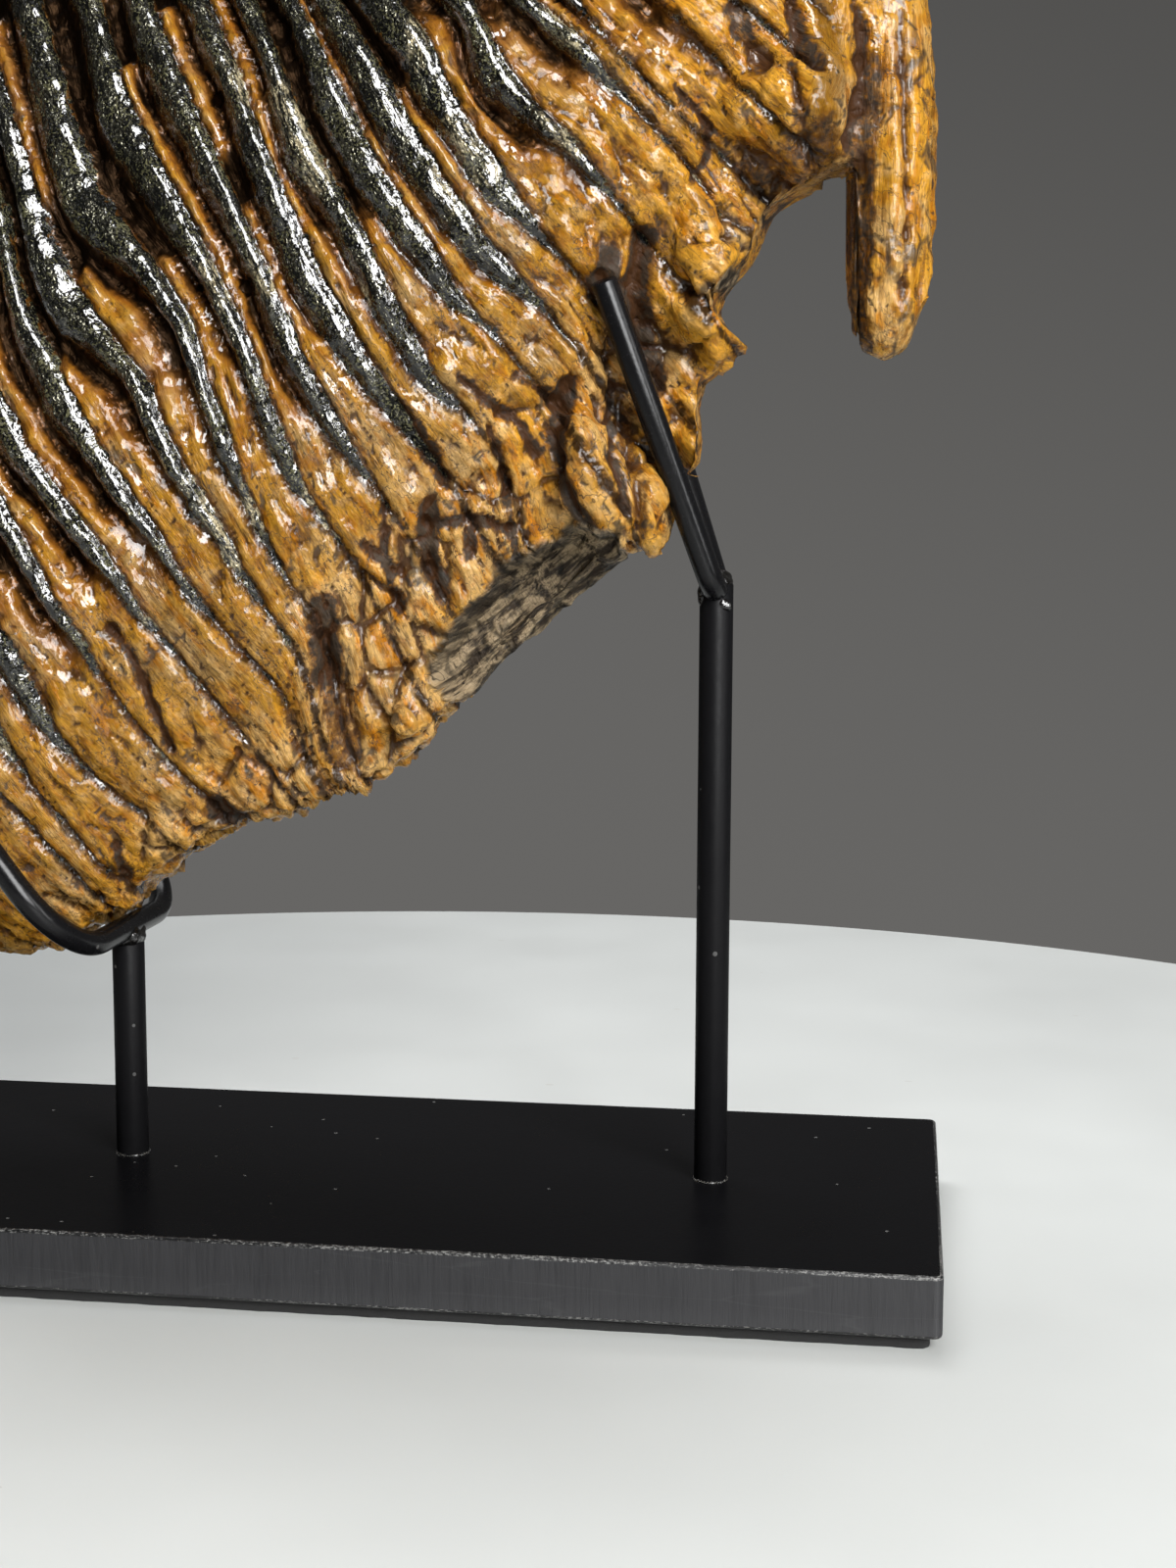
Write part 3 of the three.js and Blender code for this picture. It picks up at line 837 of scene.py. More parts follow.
# Patches of pale enamel on the showing side: radius, then (x, z) points, all in mm.
PALE_PATCHES = [
    (2.4, [(2, 268), (6, 260), (11, 250)]), (2.0, [(-3, 233), (0, 227)]), (2.6, [(61, 263), (66, 258)]),
    (2.2, [(61, 289), (66, 281)]), (1.8, [(32, 282), (33, 275)]), (1.6, [(-28, 190), (-25, 183)]),
    (2.2, [(-15, 176), (-12, 167)]), (2.0, [(-8, 182), (-6, 175)]), (1.8, [(-19, 184), (-15, 178)]),
    (1.8, [(5, 181), (10, 173)]), (1.8, [(15, 232), (19, 224)]), (1.6, [(-14, 231), (-11, 224)]),
    (1.8, [(36, 252), (40, 245)]), (2.0, [(40, 262), (47, 251)]), (1.6, [(-9, 275), (-5, 268)]),
]


# Height up the tooth, in mm, above which the gap right of a plate is open and black.
OPEN_GAPS = {8: 96, 10: 98, 14: 66, 16: 82, 18: 96}


def smoothstep(low, high, value):
    t = np.clip((value - low) / (high - low), 0, 1)
    return t * t * (3 - 2 * t)


def tooth_axes(x, z):
    """u and v of points given by x and z, all in mm."""
    cos, sin = math.cos(TOOTH_TILT), math.sin(TOOTH_TILT)
    along, up = np.asarray(x) - BACK_CORNER[0], np.asarray(z) - BACK_CORNER[1]
    return cos * along + sin * up, -sin * along + cos * up


def even_crest(plate, v):
    """Where a plate's crest would be if it didn't wander."""
    lean = 0.27 * math.exp(-((plate - 10.5) / 6) ** 2) - 0.04 * math.log1p(math.exp(plate - 17))
    return FIRST_PLATE_U + PLATE_SPACING * plate + lean * (v - LEAN_PIVOT_V)


def crest_on_showing_side(plate, v):
    line = CREST_LINES.get(plate)
    if line is None:
        return even_crest(plate, v) + 1.2 * np.sin(v / 19 + plate * 2.3)
    line_u, line_v = tooth_axes(*np.array(line, float).T)
    order = np.argsort(line_v)
    wander = (line_u - even_crest(plate, line_v))[order]
    grid = np.arange(-80.0, 260.0)
    steps = np.interp(grid, line_v[order], wander)
    rounding = np.hanning(11) / np.hanning(11).sum()
    rounded = np.convolve(np.pad(steps, 5, "edge"), rounding, "valid")
    return even_crest(plate, v) + np.interp(v, grid, rounded)


def crest_on_hidden_side(plate, v):
    return even_crest(plate, v) + 1.8 * np.sin(v / 23 + plate * 1.9) + 0.8 * np.sin(v / 8.5 + plate * 4.1)


def enamel_end(plate, showing):
    hidden = 24 + 11 * math.sin(plate * 2.7) + 14 * max(0, abs(plate - 13) - 9)
    return lerp(hidden, ENAMEL_ENDS.get(plate, 60), showing)


def column_top(plate, showing):
    hidden = 60 + 14 * math.sin(plate * 1.7)
    return lerp(hidden, COLUMN_TOPS.get(plate, 58 + 9 * math.sin(plate * 2.1)), showing)


def noise_at(points, size, seed=0.0):
    """Smooth noise about 0, from points in mm; size is that of its lumps, in mm or mm a side."""
    scaled_points = points / size + seed
    return np.array([noise.noise(p) for p in scaled_points.tolist()])


def cells_at(points, size, seed=0.0):
    """Distance to the border of irregular cells, 0 on it, and a steady number for each cell."""
    gap, number = np.empty(len(points)), np.empty(len(points))
    for i, p in enumerate((points / size + seed).tolist()):
        distances, centres = noise.voronoi(p)
        gap[i] = distances[1] - distances[0]
        number[i] = noise.cell(centres[0] * 7.31)
    return gap, number


def distance_to_path(points, path):
    """Distance in the x-z plane from each point to a line through a few (x, z) points, in mm."""
    here = points[:, [0, 2]]
    nearest = np.full(len(points), 1e9)
    for start, end in zip(np.array(path[:-1], float), np.array(path[1:], float)):
        run = end - start
        share = np.clip(((here - start) @ run) / (run @ run), 0, 1)
        nearest = np.minimum(nearest, np.linalg.norm(here - start - share[:, None] * run, axis=1))
    return nearest


class Plates:
    """Each point's place among the plates: the two crests it lies between, and how strong each is."""

    def __init__(self, points, showing):
        self.u, self.v = tooth_axes(points[:, 0], points[:, 2])
        crests = np.stack([lerp(crest_on_hidden_side(k, self.v), crest_on_showing_side(k, self.v), showing)
                           for k in PLATES], axis=1)
        crests = np.maximum.accumulate(crests + np.arange(len(PLATES)) * 0.001, axis=1)
        ends = np.stack([enamel_end(k, showing) for k in PLATES], axis=1)
        tops = np.stack([column_top(k, showing) for k in PLATES], axis=1)
        jitter = 6.0 * noise_at(points, 9.0, 3.7)
        strengths = smoothstep(ends, ends + ENAMEL_FADE, (self.v + jitter)[:, None])
        before = np.clip((crests <= self.u[:, None]).sum(axis=1) - 1, 0, len(PLATES) - 2)
        row = np.arange(len(points))
        left_crest, right_crest = crests[row, before], crests[row, before + 1]
        self.left_strength, self.right_strength = strengths[row, before], strengths[row, before + 1]
        self.spacing = np.maximum(right_crest - left_crest, LEAST_SPACING)
        share = np.clip((self.u - left_crest) / self.spacing, 0, 1)
        nearest = np.floor(before + 0.5 + share)
        along = np.stack([nearest * 9.0, self.v, points[:, 1] * 0.2], axis=1)
        self.unevenness = 0.9 * noise_at(along, np.array([6.0, 11.0, 9.0]), 4.9)
        self.number = np.array(PLATES)[before] + share
        self.from_left = share * self.spacing
        self.from_right = (1 - share) * self.spacing
        self.above_column = self.v - tops[row, before]
        open_from = np.array([OPEN_GAPS.get(k, 999) for k in PLATES])[before]
        self.above_open = lerp(-99, self.v - open_from, showing)

    def half_width(self, strength, most):
        """From an enamel roll's crest to its edge, at most a share of the spacing."""
        wider_upwards = np.clip(2.6 + 0.03 * (self.v - 45), 2.0, 5.0)
        full = np.minimum(wider_upwards + self.unevenness, most * self.spacing)
        return THINNEST_ROLL + (full - THINNEST_ROLL) * strength ** 0.65


def roll_height(distance, half_width, strength, drop):
    """Height of an enamel roll across its width: round on top, steep at its edges."""
    across = np.clip(distance / half_width, 0, 1)
    arch = np.sqrt(1 - 0.97 * across ** 2) - 1
    return -2.3 * (1 - strength) ** 1.5 + arch * (0.3 + (drop - 0.3) * strength)


def side_relief(plates, points, settings):
    """Relief of the plates' sides, in mm from their crests, and how far each point is from enamel."""
    drop, gap_depth = settings.groove_depth / MM, settings.gap_depth / MM
    left_width = plates.half_width(plates.left_strength, 0.29)
    right_width = plates.half_width(plates.right_strength, 0.37)
    left_roll = roll_height(plates.from_left, left_width, plates.left_strength, drop)
    right_roll = roll_height(plates.from_right, right_width, plates.right_strength, drop)
    gap = np.maximum(plates.spacing - left_width - right_width, 0.3)
    across = np.clip((plates.from_left - left_width) / gap, 0, 1)
    both = np.sqrt(plates.left_strength * plates.right_strength)
    bank = lerp(left_roll, right_roll, across)
    long_way = np.stack([np.floor(plates.number) * 9.0, plates.v, points[:, 1] * 0.2], axis=1)
    filling = smoothstep(-0.4, -0.1, noise_at(long_way, np.array([6.0, 26.0, 20.0]), 11.3))
    filling = np.maximum(filling, smoothstep(36, 12, plates.above_column))
    filling *= smoothstep(8, -8, plates.above_open)
    strip_top = lerp(-gap_depth, -1.5, filling) + 0.9 * noise_at(long_way, np.array([5.0, 6.0, 9.0]), 1.7)
    strip_top += 0.9 * noise_at(points, 2.4, 3.1)
    uneven_top = 8 * noise_at(long_way, np.array([9.0, 12.0, 12.0]), 5.5)
    strip = smoothstep(-12, 12, plates.above_column + uneven_top)
    column = lerp(0.4, -1.0, smoothstep(0.1, 0.6, both))
    top = lerp(column, strip_top, strip)
    waver = 0.35 * strip * noise_at(long_way, np.array([5.0, 9.0, 9.0]), 8.1)
    off_centre = 2 * across - 1 + 0.3 * strip + waver
    ledge = np.exp(-(off_centre / np.where(off_centre < 0, 1.0, 0.62)) ** 4)
    arch = lerp(np.sqrt(np.clip(1 - np.abs(off_centre) ** 5, 0, 1)), ledge, strip)
    trench = np.minimum(bank, 0.25 * bank - 0.75 * gap_depth)
    floor = lerp(bank, trench, strip * np.sin(np.pi * across) ** 0.5)
    filled = floor + (top - floor) * arch
    in_gap = (plates.from_left > left_width) & (plates.from_right > right_width)
    height = np.where(in_gap, filled, np.maximum(
        np.where(plates.from_left <= left_width, left_roll, -99),
        np.where(plates.from_right <= right_width, right_roll, -99)))
    nearer_left = plates.from_left - left_width < plates.from_right - right_width
    edge = np.where(nearer_left, plates.from_left - left_width, plates.from_right - right_width)
    strength = np.where(nearer_left, plates.left_strength, plates.right_strength)
    return height, edge, strength


def chewing_relief(plates):
    """Relief of the chewing surface: raised enamel bands round sunken dentine, cementum between."""
    off = np.minimum(plates.from_left, plates.from_right)
    off_band = off - 0.27 * plates.spacing
    band = np.exp(-(off_band / 0.75) ** 2)
    inside = smoothstep(0.3, 0.2, off / plates.spacing)
    return 0.5 * band - 0.9 * inside - 0.5, off_band


# ---------------------------------------------------------------- tooth: form

# The mesh is finer right of this x and below this z, in mm, where a face's normal has a smaller y.
FINE_REGION_X = -74.0
FINE_REGION_Z = 302.0
FACES_THE_FRONT = 0.15

# Distance from a rod's axis, in mm, that the fossil keeps.
ROD_CLEARANCE = 3.15

# The finger-like root starts at this x, and no place is trimmed by more than this, both in mm.
FINGER_START_X = 119
DEEPEST_TRIM = 22

# Turns the splinters of the broken wall about Y, by about 40 degrees.
SPLINTER_LEAN = np.array([[0.77, 0, 0.64], [0, 1, 0], [-0.64, 0, 0.77]])

# Knobs and splinters of root added to the form: centre, half sizes and lean, in mm and radians.
ROOT_KNOBS = [
    ((98, -9, 218), (5.5, 8, 4.5), 0.5), ((11, -16, 117), (4, 5, 8.5), 0.45),
    ((90, -4, 196), (4.2, 6, 9.5), 0), ((80, -10, 178), (4.5, 7, 9), -0.2),
    ((110, -14, 263), (6, 9, 7), 0.3), ((113, -16, 277), (5, 9, 8), -0.2),
    ((101, -20, 268), (5, 8, 9), 0), ((-6, -8, 108), (4, 5, 4), 0.6), ((24, -22, 130), (5, 5, 4), 0.6),
]


def tooth_form(settings):
    """A smooth closed copy of the solid tooth, with finer faces where its relief is finest."""
    bm = bmesh.new()
    bm.from_mesh(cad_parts["mammoth_tooth"].data)
    bmesh.ops.remove_doubles(bm, verts=bm.verts, dist=0.01 * MM)
    for centre, half_sizes, lean in ROOT_KNOBS:
        shape = Matrix.Translation(Vector(centre) * MM) @ Matrix.Rotation(lean, 4, "Y")
        shape = shape @ Matrix.Diagonal((*half_sizes, 1)) @ Matrix.Scale(MM, 4)
        bmesh.ops.create_icosphere(bm, subdivisions=3, radius=1, matrix=shape)
    bm = voxel_remeshed(bm, settings.coarse_size)
    smooth_all(bm, 4)
    bm.normal_update()

    def fine(face):
        x, _, z = face.calc_center_median() / MM
        return face.normal.y < FACES_THE_FRONT and x > FINE_REGION_X and z < FINE_REGION_Z

    edges = {edge for face in bm.faces if fine(face) for edge in face.edges}
    bmesh.ops.subdivide_edges(bm, edges=list(edges), cuts=1, use_grid_fill=True, smooth=0.0)
    smooth_all(bm, 1)
    bmesh.ops.triangulate(bm, faces=[f for f in bm.faces if len(f.verts) > 4])
    bm.normal_update()
    return bm


def brushed(points, showing):
    """Height and darkness that the strokes add on the showing side."""
    height, darkness = np.zeros(len(points)), np.zeros(len(points))
    ragged = 1.2 * noise_at(points, 4.0, 6.2)
    for radius, rise, dark, path in STROKES:
        reach = (distance_to_path(points, path) + ragged) / radius
        height += rise * showing * np.exp(-reach ** 2 * 1.2)
        darkness = np.maximum(darkness, dark * showing * smoothstep(1.35, 0.7, reach))
    return height, darkness


def broken_away(points):
    """How far each point is pushed back where the wall is broken, and how broken it looks there."""
    push, broken = np.zeros(len(points)), np.zeros(len(points))
    ragged = 1.5 * noise_at(points, 5.0, 2.6)
    front = smoothstep(0, -8, points[:, 1])
    for radius, depth, path in BREAKS:
        reach = (distance_to_path(points, path) + ragged) / radius
        push = np.maximum(push, depth * front * smoothstep(1.02, 0.72, reach))
        broken = np.maximum(broken, smoothstep(1.06, 0.96, reach))
    return push, broken


def trimmed(points):
    """Points drawn in to the outline between the bulb and the root tip; the finger stays."""
    reach_z, reach_x = np.array(RIGHT_OUTLINE).T
    limit = np.interp(points[:, 2], reach_z, reach_x) + 0.8 * noise_at(points, 4.0, 7.9)
    too_far = np.where(points[:, 0] < FINGER_START_X, np.maximum(points[:, 0] - limit, 0), 0)
    points[:, 0] -= 0.95 * too_far
    for outline, softness in ((BULB_UNDERSIDE, 0.85), (FINGER_TIP, 0.8)):
        low_x, low_z = np.array(outline).T
        limit = np.interp(points[:, 0], low_x, low_z, left=-99, right=-99) + 1.2 * noise_at(points, 2.6, 4.1)
        too_low = limit - points[:, 2]
        points[:, 2] += softness * np.where(too_low < DEEPEST_TRIM, np.maximum(too_low, 0), 0)
    return points


def hollowness(bm, points, normals, rounds):
    """How far each point lies below its smoothed surroundings, in mm."""
    edges = np.array([[vert.index for vert in edge.verts] for edge in bm.edges])
    first, second = np.concatenate([edges, edges[:, ::-1]]).T
    neighbours = np.bincount(first)
    around = points.copy()
    for _ in range(rounds):
        means = np.stack([np.bincount(first, around[second, axis]) / neighbours for axis in range(3)], axis=1)
        around = (around + means) / 2
    return ((around - points) * normals).sum(axis=1)


def clear_of_rods(points):
    """Points pushed out of the cradle and the fork where the relief would bury them."""
    points = points.copy()
    radius = ROD_DIAMETER / 2
    for corners, bend in ((cradle_corners(radius), CRADLE_BEND), (fork_corners(radius), FORK_BEND)):
        path = np.array(bent_path(corners, bend, steps=8)) / MM
        for start, end in zip(path[:-1], path[1:]):
            run = end - start
            share = np.clip(((points - start) @ run) / (run @ run), 0, 1)
            away = points - start - share[:, None] * run
            gap = np.linalg.norm(away, axis=1)
            close = gap < ROD_CLEARANCE
            points[close] += away[close] * (ROD_CLEARANCE / gap[close] - 1)[:, None]
    return points


def paleness(points, showing):
    """How far each point lies in a pale patch of enamel."""
    pale = np.zeros(len(points))
    ragged = 1.6 * noise_at(points, 3.5, 9.4)
    for radius, path in PALE_PATCHES:
        reach = (distance_to_path(points, path) + ragged) / radius
        pale = np.maximum(pale, showing * smoothstep(1.4, 0.8, reach))
    return pale


def chewed_share(points, normals, plates):
    """1 on the worn chewing surface at the top, 0 elsewhere."""
    level_top = smoothstep(0.6, 0.85, normals[:, 2]) * smoothstep(285, 300, points[:, 2])
    return level_top * smoothstep(6.0, 8.0, plates.number)


def root_share(points, plates, showing):
    """1 over the roots, 0 up among the plates."""
    middle = smoothstep(7.5, 10.5, plates.number) * smoothstep(23, 19, plates.number)
    root_top = lerp(lerp(-2.0, 17.0, middle), 26.0, smoothstep(17, 21, plates.number))
    return smoothstep(7, -7, plates.v - lerp(12.0, root_top, showing) + 9 * noise_at(points, 14.0, 5.1))


def finger_share(points):
    """1 on the root that hangs like a finger at the front end, 0 elsewhere."""
    front = smoothstep(116, 123, points[:, 0] + 2 * noise_at(points, 9.0, 2.2))
    return front * smoothstep(322, 300, points[:, 2])


def root_lumps(points, flow, settings):
    """Height of the lumps over the roots, in mm, and how creased it is between them."""
    lump_gap, lump_number = cells_at(flow, np.array([8.0, 15.0, 9.0]), 2.9)
    crevice = 1 - np.minimum(lump_gap / 0.25, 1) ** 0.7
    crevice *= smoothstep(-0.25, 0.15, noise_at(points, 11.0, 4.9))
    return (0.2 - crevice + 0.6 * (lump_number - 0.5)) * settings.lump_height / MM, crevice


def wrinkles_at(flow):
    """Height of the fine folds that run along the plates, in mm."""
    coarse = np.abs(noise_at(flow, np.array([3.4, 16.0, 8.0]), 4.4)) * 2.2 - 0.55
    fine = np.abs(noise_at(flow, np.array([1.8, 6.5, 5.0]), 9.9)) * 1.1 - 0.3
    return coarse + fine


def splinters_at(points):
    """Long splinters that lean with the broken wall."""
    return noise_at(points @ SPLINTER_LEAN, np.array([2.5, 6.0, 12.0]))


def make_tooth(settings):
    bm = tooth_form(settings)
    points = np.array([v.co for v in bm.verts]) / MM
    normals = np.array([v.normal for v in bm.verts])
    showing = smoothstep(9, -9, points[:, 1])
    plates = Plates(points, showing)
    flow = np.stack([plates.number * PLATE_SPACING, plates.v, points[:, 1]], axis=1)
    side, edge, strength = side_relief(plates, points, settings)
    chewed, chewed_edge = chewing_relief(plates)
    chewing = chewed_share(points, normals, plates)
    rooty, finger = root_share(points, plates, showing), finger_share(points)
    lumps, crevice = root_lumps(points, flow, settings)
    wrinkles = wrinkles_at(flow)

    height = lerp(side, lumps + 0.45 * side, rooty)
    long_grain = noise_at(points, np.array([3.2, 3.2, 20.0]), 3.3) + 0.9 * noise_at(points, 6.0, 5.5)
    height = lerp(height, 0.65 * long_grain - 0.3, finger)
    ragged = noise_at(flow, np.array([2.6, 1.7, 2.6]), 7.7)
    enamel_share = smoothstep(0.4, -0.6, edge) * (1 - rooty) * (1 - finger)
    height += lerp(wrinkles * (1 - 0.75 * finger), 0.5 * ragged, enamel_share)
    knobby = smoothstep(150, 190, plates.u) * smoothstep(110, 60, plates.v) * (1 - finger)
    height += 1.8 * knobby * noise_at(points, np.array([8.0, 9.0, 10.0]), 6.6)
    height = lerp(height, chewed, chewing)
    height += 0.6 * noise_at(points, 6.5, 1.3) + 0.22 * noise_at(points, 2.4, 8.8)
    stroke_height, darkness = brushed(points, showing)
    height += stroke_height
    push, broken = broken_away(points)
    height = lerp(height, 2.0 * splinters_at(points), broken)
    moved = points + normals * height[:, None]
    moved[:, 1] += push
    moved = clear_of_rods(trimmed(moved))
    for vert, place_at in zip(bm.verts, (moved * MM).tolist()):
        vert.co = place_at
    bm.normal_update()
    bm.verts.index_update()

    attributes = {
        "flow": flow,
        "enamel_edge": edge + 9 * finger,
        "enamel_strength": strength,
        "sunken": np.maximum(-side, 0) * (1 - 0.5 * rooty) * (1 - finger),
        "finger": finger,
        "hollow": hollowness(bm, moved, np.array([v.normal for v in bm.verts]), rounds=12),
        "broken": broken,
        "crevice": np.maximum(crevice * rooty, smoothstep(0.35, 0.8, -wrinkles)),
        "root_zone": rooty,
        "infill_and_painted_shade": darkness,
        "pale_enamel": paleness(points, showing),
        "chewing": chewing,
        "chewing_edge": chewed_edge,
    }
    tooth = new_piece("mammoth_tooth_fossil", bm, "fossil", "mammoth_tooth")
    for name, values in attributes.items():
        set_attribute(tooth.data, name, values)
    tooth.data.materials.append(fossil_material(settings))


# ---------------------------------------------------------------- tooth: finish

# Stains, colours, and painted light and shade of the fossil.
FOIL_SHEEN = (0.10, 0.096, 0.072)
PALE_HONEY = (0.60, 0.36, 0.12)
BURNT_ORANGE = (0.25, 0.085, 0.007)
BROWN_STREAK = (0.13, 0.05, 0.008)
FIBRE_DARK = (0.08, 0.08, 0.08)
FIBRE_LIGHT = (0.85, 0.85, 0.85)
PEPPER_BROWN = (0.05, 0.026, 0.012)
RAISED_PAINTED_LIGHT_GOLD = (0.64, 0.34, 0.05)
INFILL_AND_SHADE_RIM = (0.15, 0.058, 0.012)
LEDGE_RUST = (0.27, 0.09, 0.012)
HOLLOW_STAIN_AND_SHADE_BROWN = (0.055, 0.019, 0.004)
GAP_STAIN_AND_SHADE_BLACK = (0.005, 0.004, 0.003)
SEAM_SHADE_BLACK = (0.012, 0.007, 0.004)
SPLINTER_DARK = (0.05, 0.037, 0.026)
SPLINTER_LIGHT = (0.38, 0.29, 0.18)
WALL_RECESS_SHADE = (0.02, 0.019, 0.018)
WALL_CRACK = (0.01, 0.009, 0.008)
CHEWED_CEMENTUM = (0.30, 0.16, 0.06)
CHEWED_DENTINE = (0.10, 0.055, 0.03)
CHEWED_ENAMEL_DARK = (0.05, 0.05, 0.04)
CHEWED_ENAMEL_LIGHT = (0.62, 0.58, 0.46)


class FossilPatterns:
    """The tooth's attributes and the noises that several layers of its finish share."""

    def __init__(self, tree):
        self.mm = object_millimetres(tree)
        self.flow = attribute(tree, "flow", "Vector")
        self.sunken = attribute(tree, "sunken")
        self.rooty = attribute(tree, "root_zone")
        self.hollow = attribute(tree, "hollow")
        self.crevice = attribute(tree, "crevice")
        self.broken = attribute(tree, "broken")
        self.waver = times(tree, minus(tree, cloudy(tree, self.mm, 0.35, 2.0), 0.5), 3.2)
        even_edge = attribute(tree, "enamel_edge")
        above_roots = fade(tree, self.rooty, 0.75, 0.35)
        self.edge = plus(tree, even_edge, self.waver)
        self.is_enamel = times(tree, fade(tree, self.edge, 0.4, -0.3), above_roots)
        self.off_enamel = minus(tree, 1.0, self.is_enamel)
        self.is_ridge = times(tree, fade(tree, even_edge, 0.4, -0.3), above_roots)
        self.grains = cloudy(tree, self.mm, 1.5, detail=1.5, roughness=0.7)
        self.grain_share = cloudy(tree, self.mm, 0.12, detail=3.0)
        self.up_side = fade(tree, place(tree, "SeparateXYZ", {0: self.flow}).outputs["Y"], -10.0, 50.0)
        # inputs 0, 4 and 5 of the Mix node are its factor and two vectors
        along = {0: attribute(tree, "finger"), 4: scaled(tree, self.flow, (0.5, 0.06, 0.3)),
                 5: scaled(tree, self.mm, (0.4, 0.4, 0.05))}
        self.along = place(tree, "Mix", along, data_type="VECTOR").outputs[1]
        fibre_place = scaled(tree, self.along, 3.2)
        self.fibres = effect(tree, "Fine grain", Vector=fibre_place, Scale=1.0, Contrast=2.6)
        splinter_place = scaled(tree, self.flow, (0.14, 0.5, 0.3))
        self.splinters = cloudy(tree, splinter_place, 1.0, detail=3.0, roughness=0.7)
        # deep gaps: painted black, partly dark stain and partly painted shade; metallic with that black, they
        # reflect almost nothing
        self.deep = fade(tree, plus(tree, self.sunken, self.waver), 3.0, 4.8)


def enamel_finish(tree, fossil, settings):
    """Dark rolls with grey-green grains and pale patches; also how much each point shines like foil."""
    grain_edge = minus(tree, 0.79, times(tree, fossil.grain_share, 0.5))
    shown_grains = fade(tree, minus(tree, fossil.grains, grain_edge), 0.0, 0.1)
    enamel = mixed(tree, shown_grains, tuple(settings.enamel), tuple(settings.enamel_speckle))
    pale_grain = cloudy(tree, scaled(tree, fossil.flow, (0.9, 0.22, 0.9)), 1.0, detail=2.0, roughness=0.7)
    scattered = cloudy(tree, scaled(tree, fossil.flow, (0.2, 0.05, 0.1)), 1.0, detail=3.0)
    faded_end = fade(tree, attribute(tree, "enamel_strength"), 0.75, 0.25)
    paleness_now = plus(tree, attribute(tree, "pale_enamel"),
                        times(tree, fade(tree, scattered, 0.57, 0.66), faded_end))
    paleness_now = times(tree, paleness_now, fade(tree, pale_grain, 0.44, 0.60))
    ivory_grains = fade(tree, fossil.grains, 0.35, 0.6)
    ivory = mixed(tree, ivory_grains, dimmer(settings.ivory, 0.3), tuple(settings.ivory))
    enamel = mixed(tree, paleness_now, enamel, ivory)
    crumpled = cloudy(tree, scaled(tree, fossil.flow, (0.9, 0.25, 0.5)), 1.0, detail=2.0, roughness=0.72)
    foil = times(tree, fade(tree, crumpled, 0.48, 0.62), fade(tree, fossil.edge, -0.8, -2.4),
                 fossil.is_enamel, between(tree, fossil.up_side, 0.5, 1.0))
    return mixed(tree, foil, enamel, FOIL_SHEEN), foil


def crack_mask(tree, fossil):
    """Wide, fine and folded cracks along the plates, and the creases between lumps."""
    wide = cloudy(tree, scaled(tree, fossil.flow, (0.13, 0.05, 0.1)), 1.0, detail=4.0, roughness=0.6)
    fine = cloudy(tree, scaled(tree, fossil.along, (0.7, 2.2, 1.0)), 1.0, detail=2.0)
    folds = cloudy(tree, scaled(tree, fossil.along, (1.2, 1.0, 1.0)), 1.0, detail=2.0)
    creases = fade(tree, plus(tree, fossil.crevice, times(tree, fossil.waver, 0.15)), 0.35, 0.9)
    return largest(tree, thin_lines(tree, wide, 0.008), times(tree, thin_lines(tree, fine, 0.012), 0.45),
                   times(tree, thin_lines(tree, folds, 0.02), 0.6), creases)


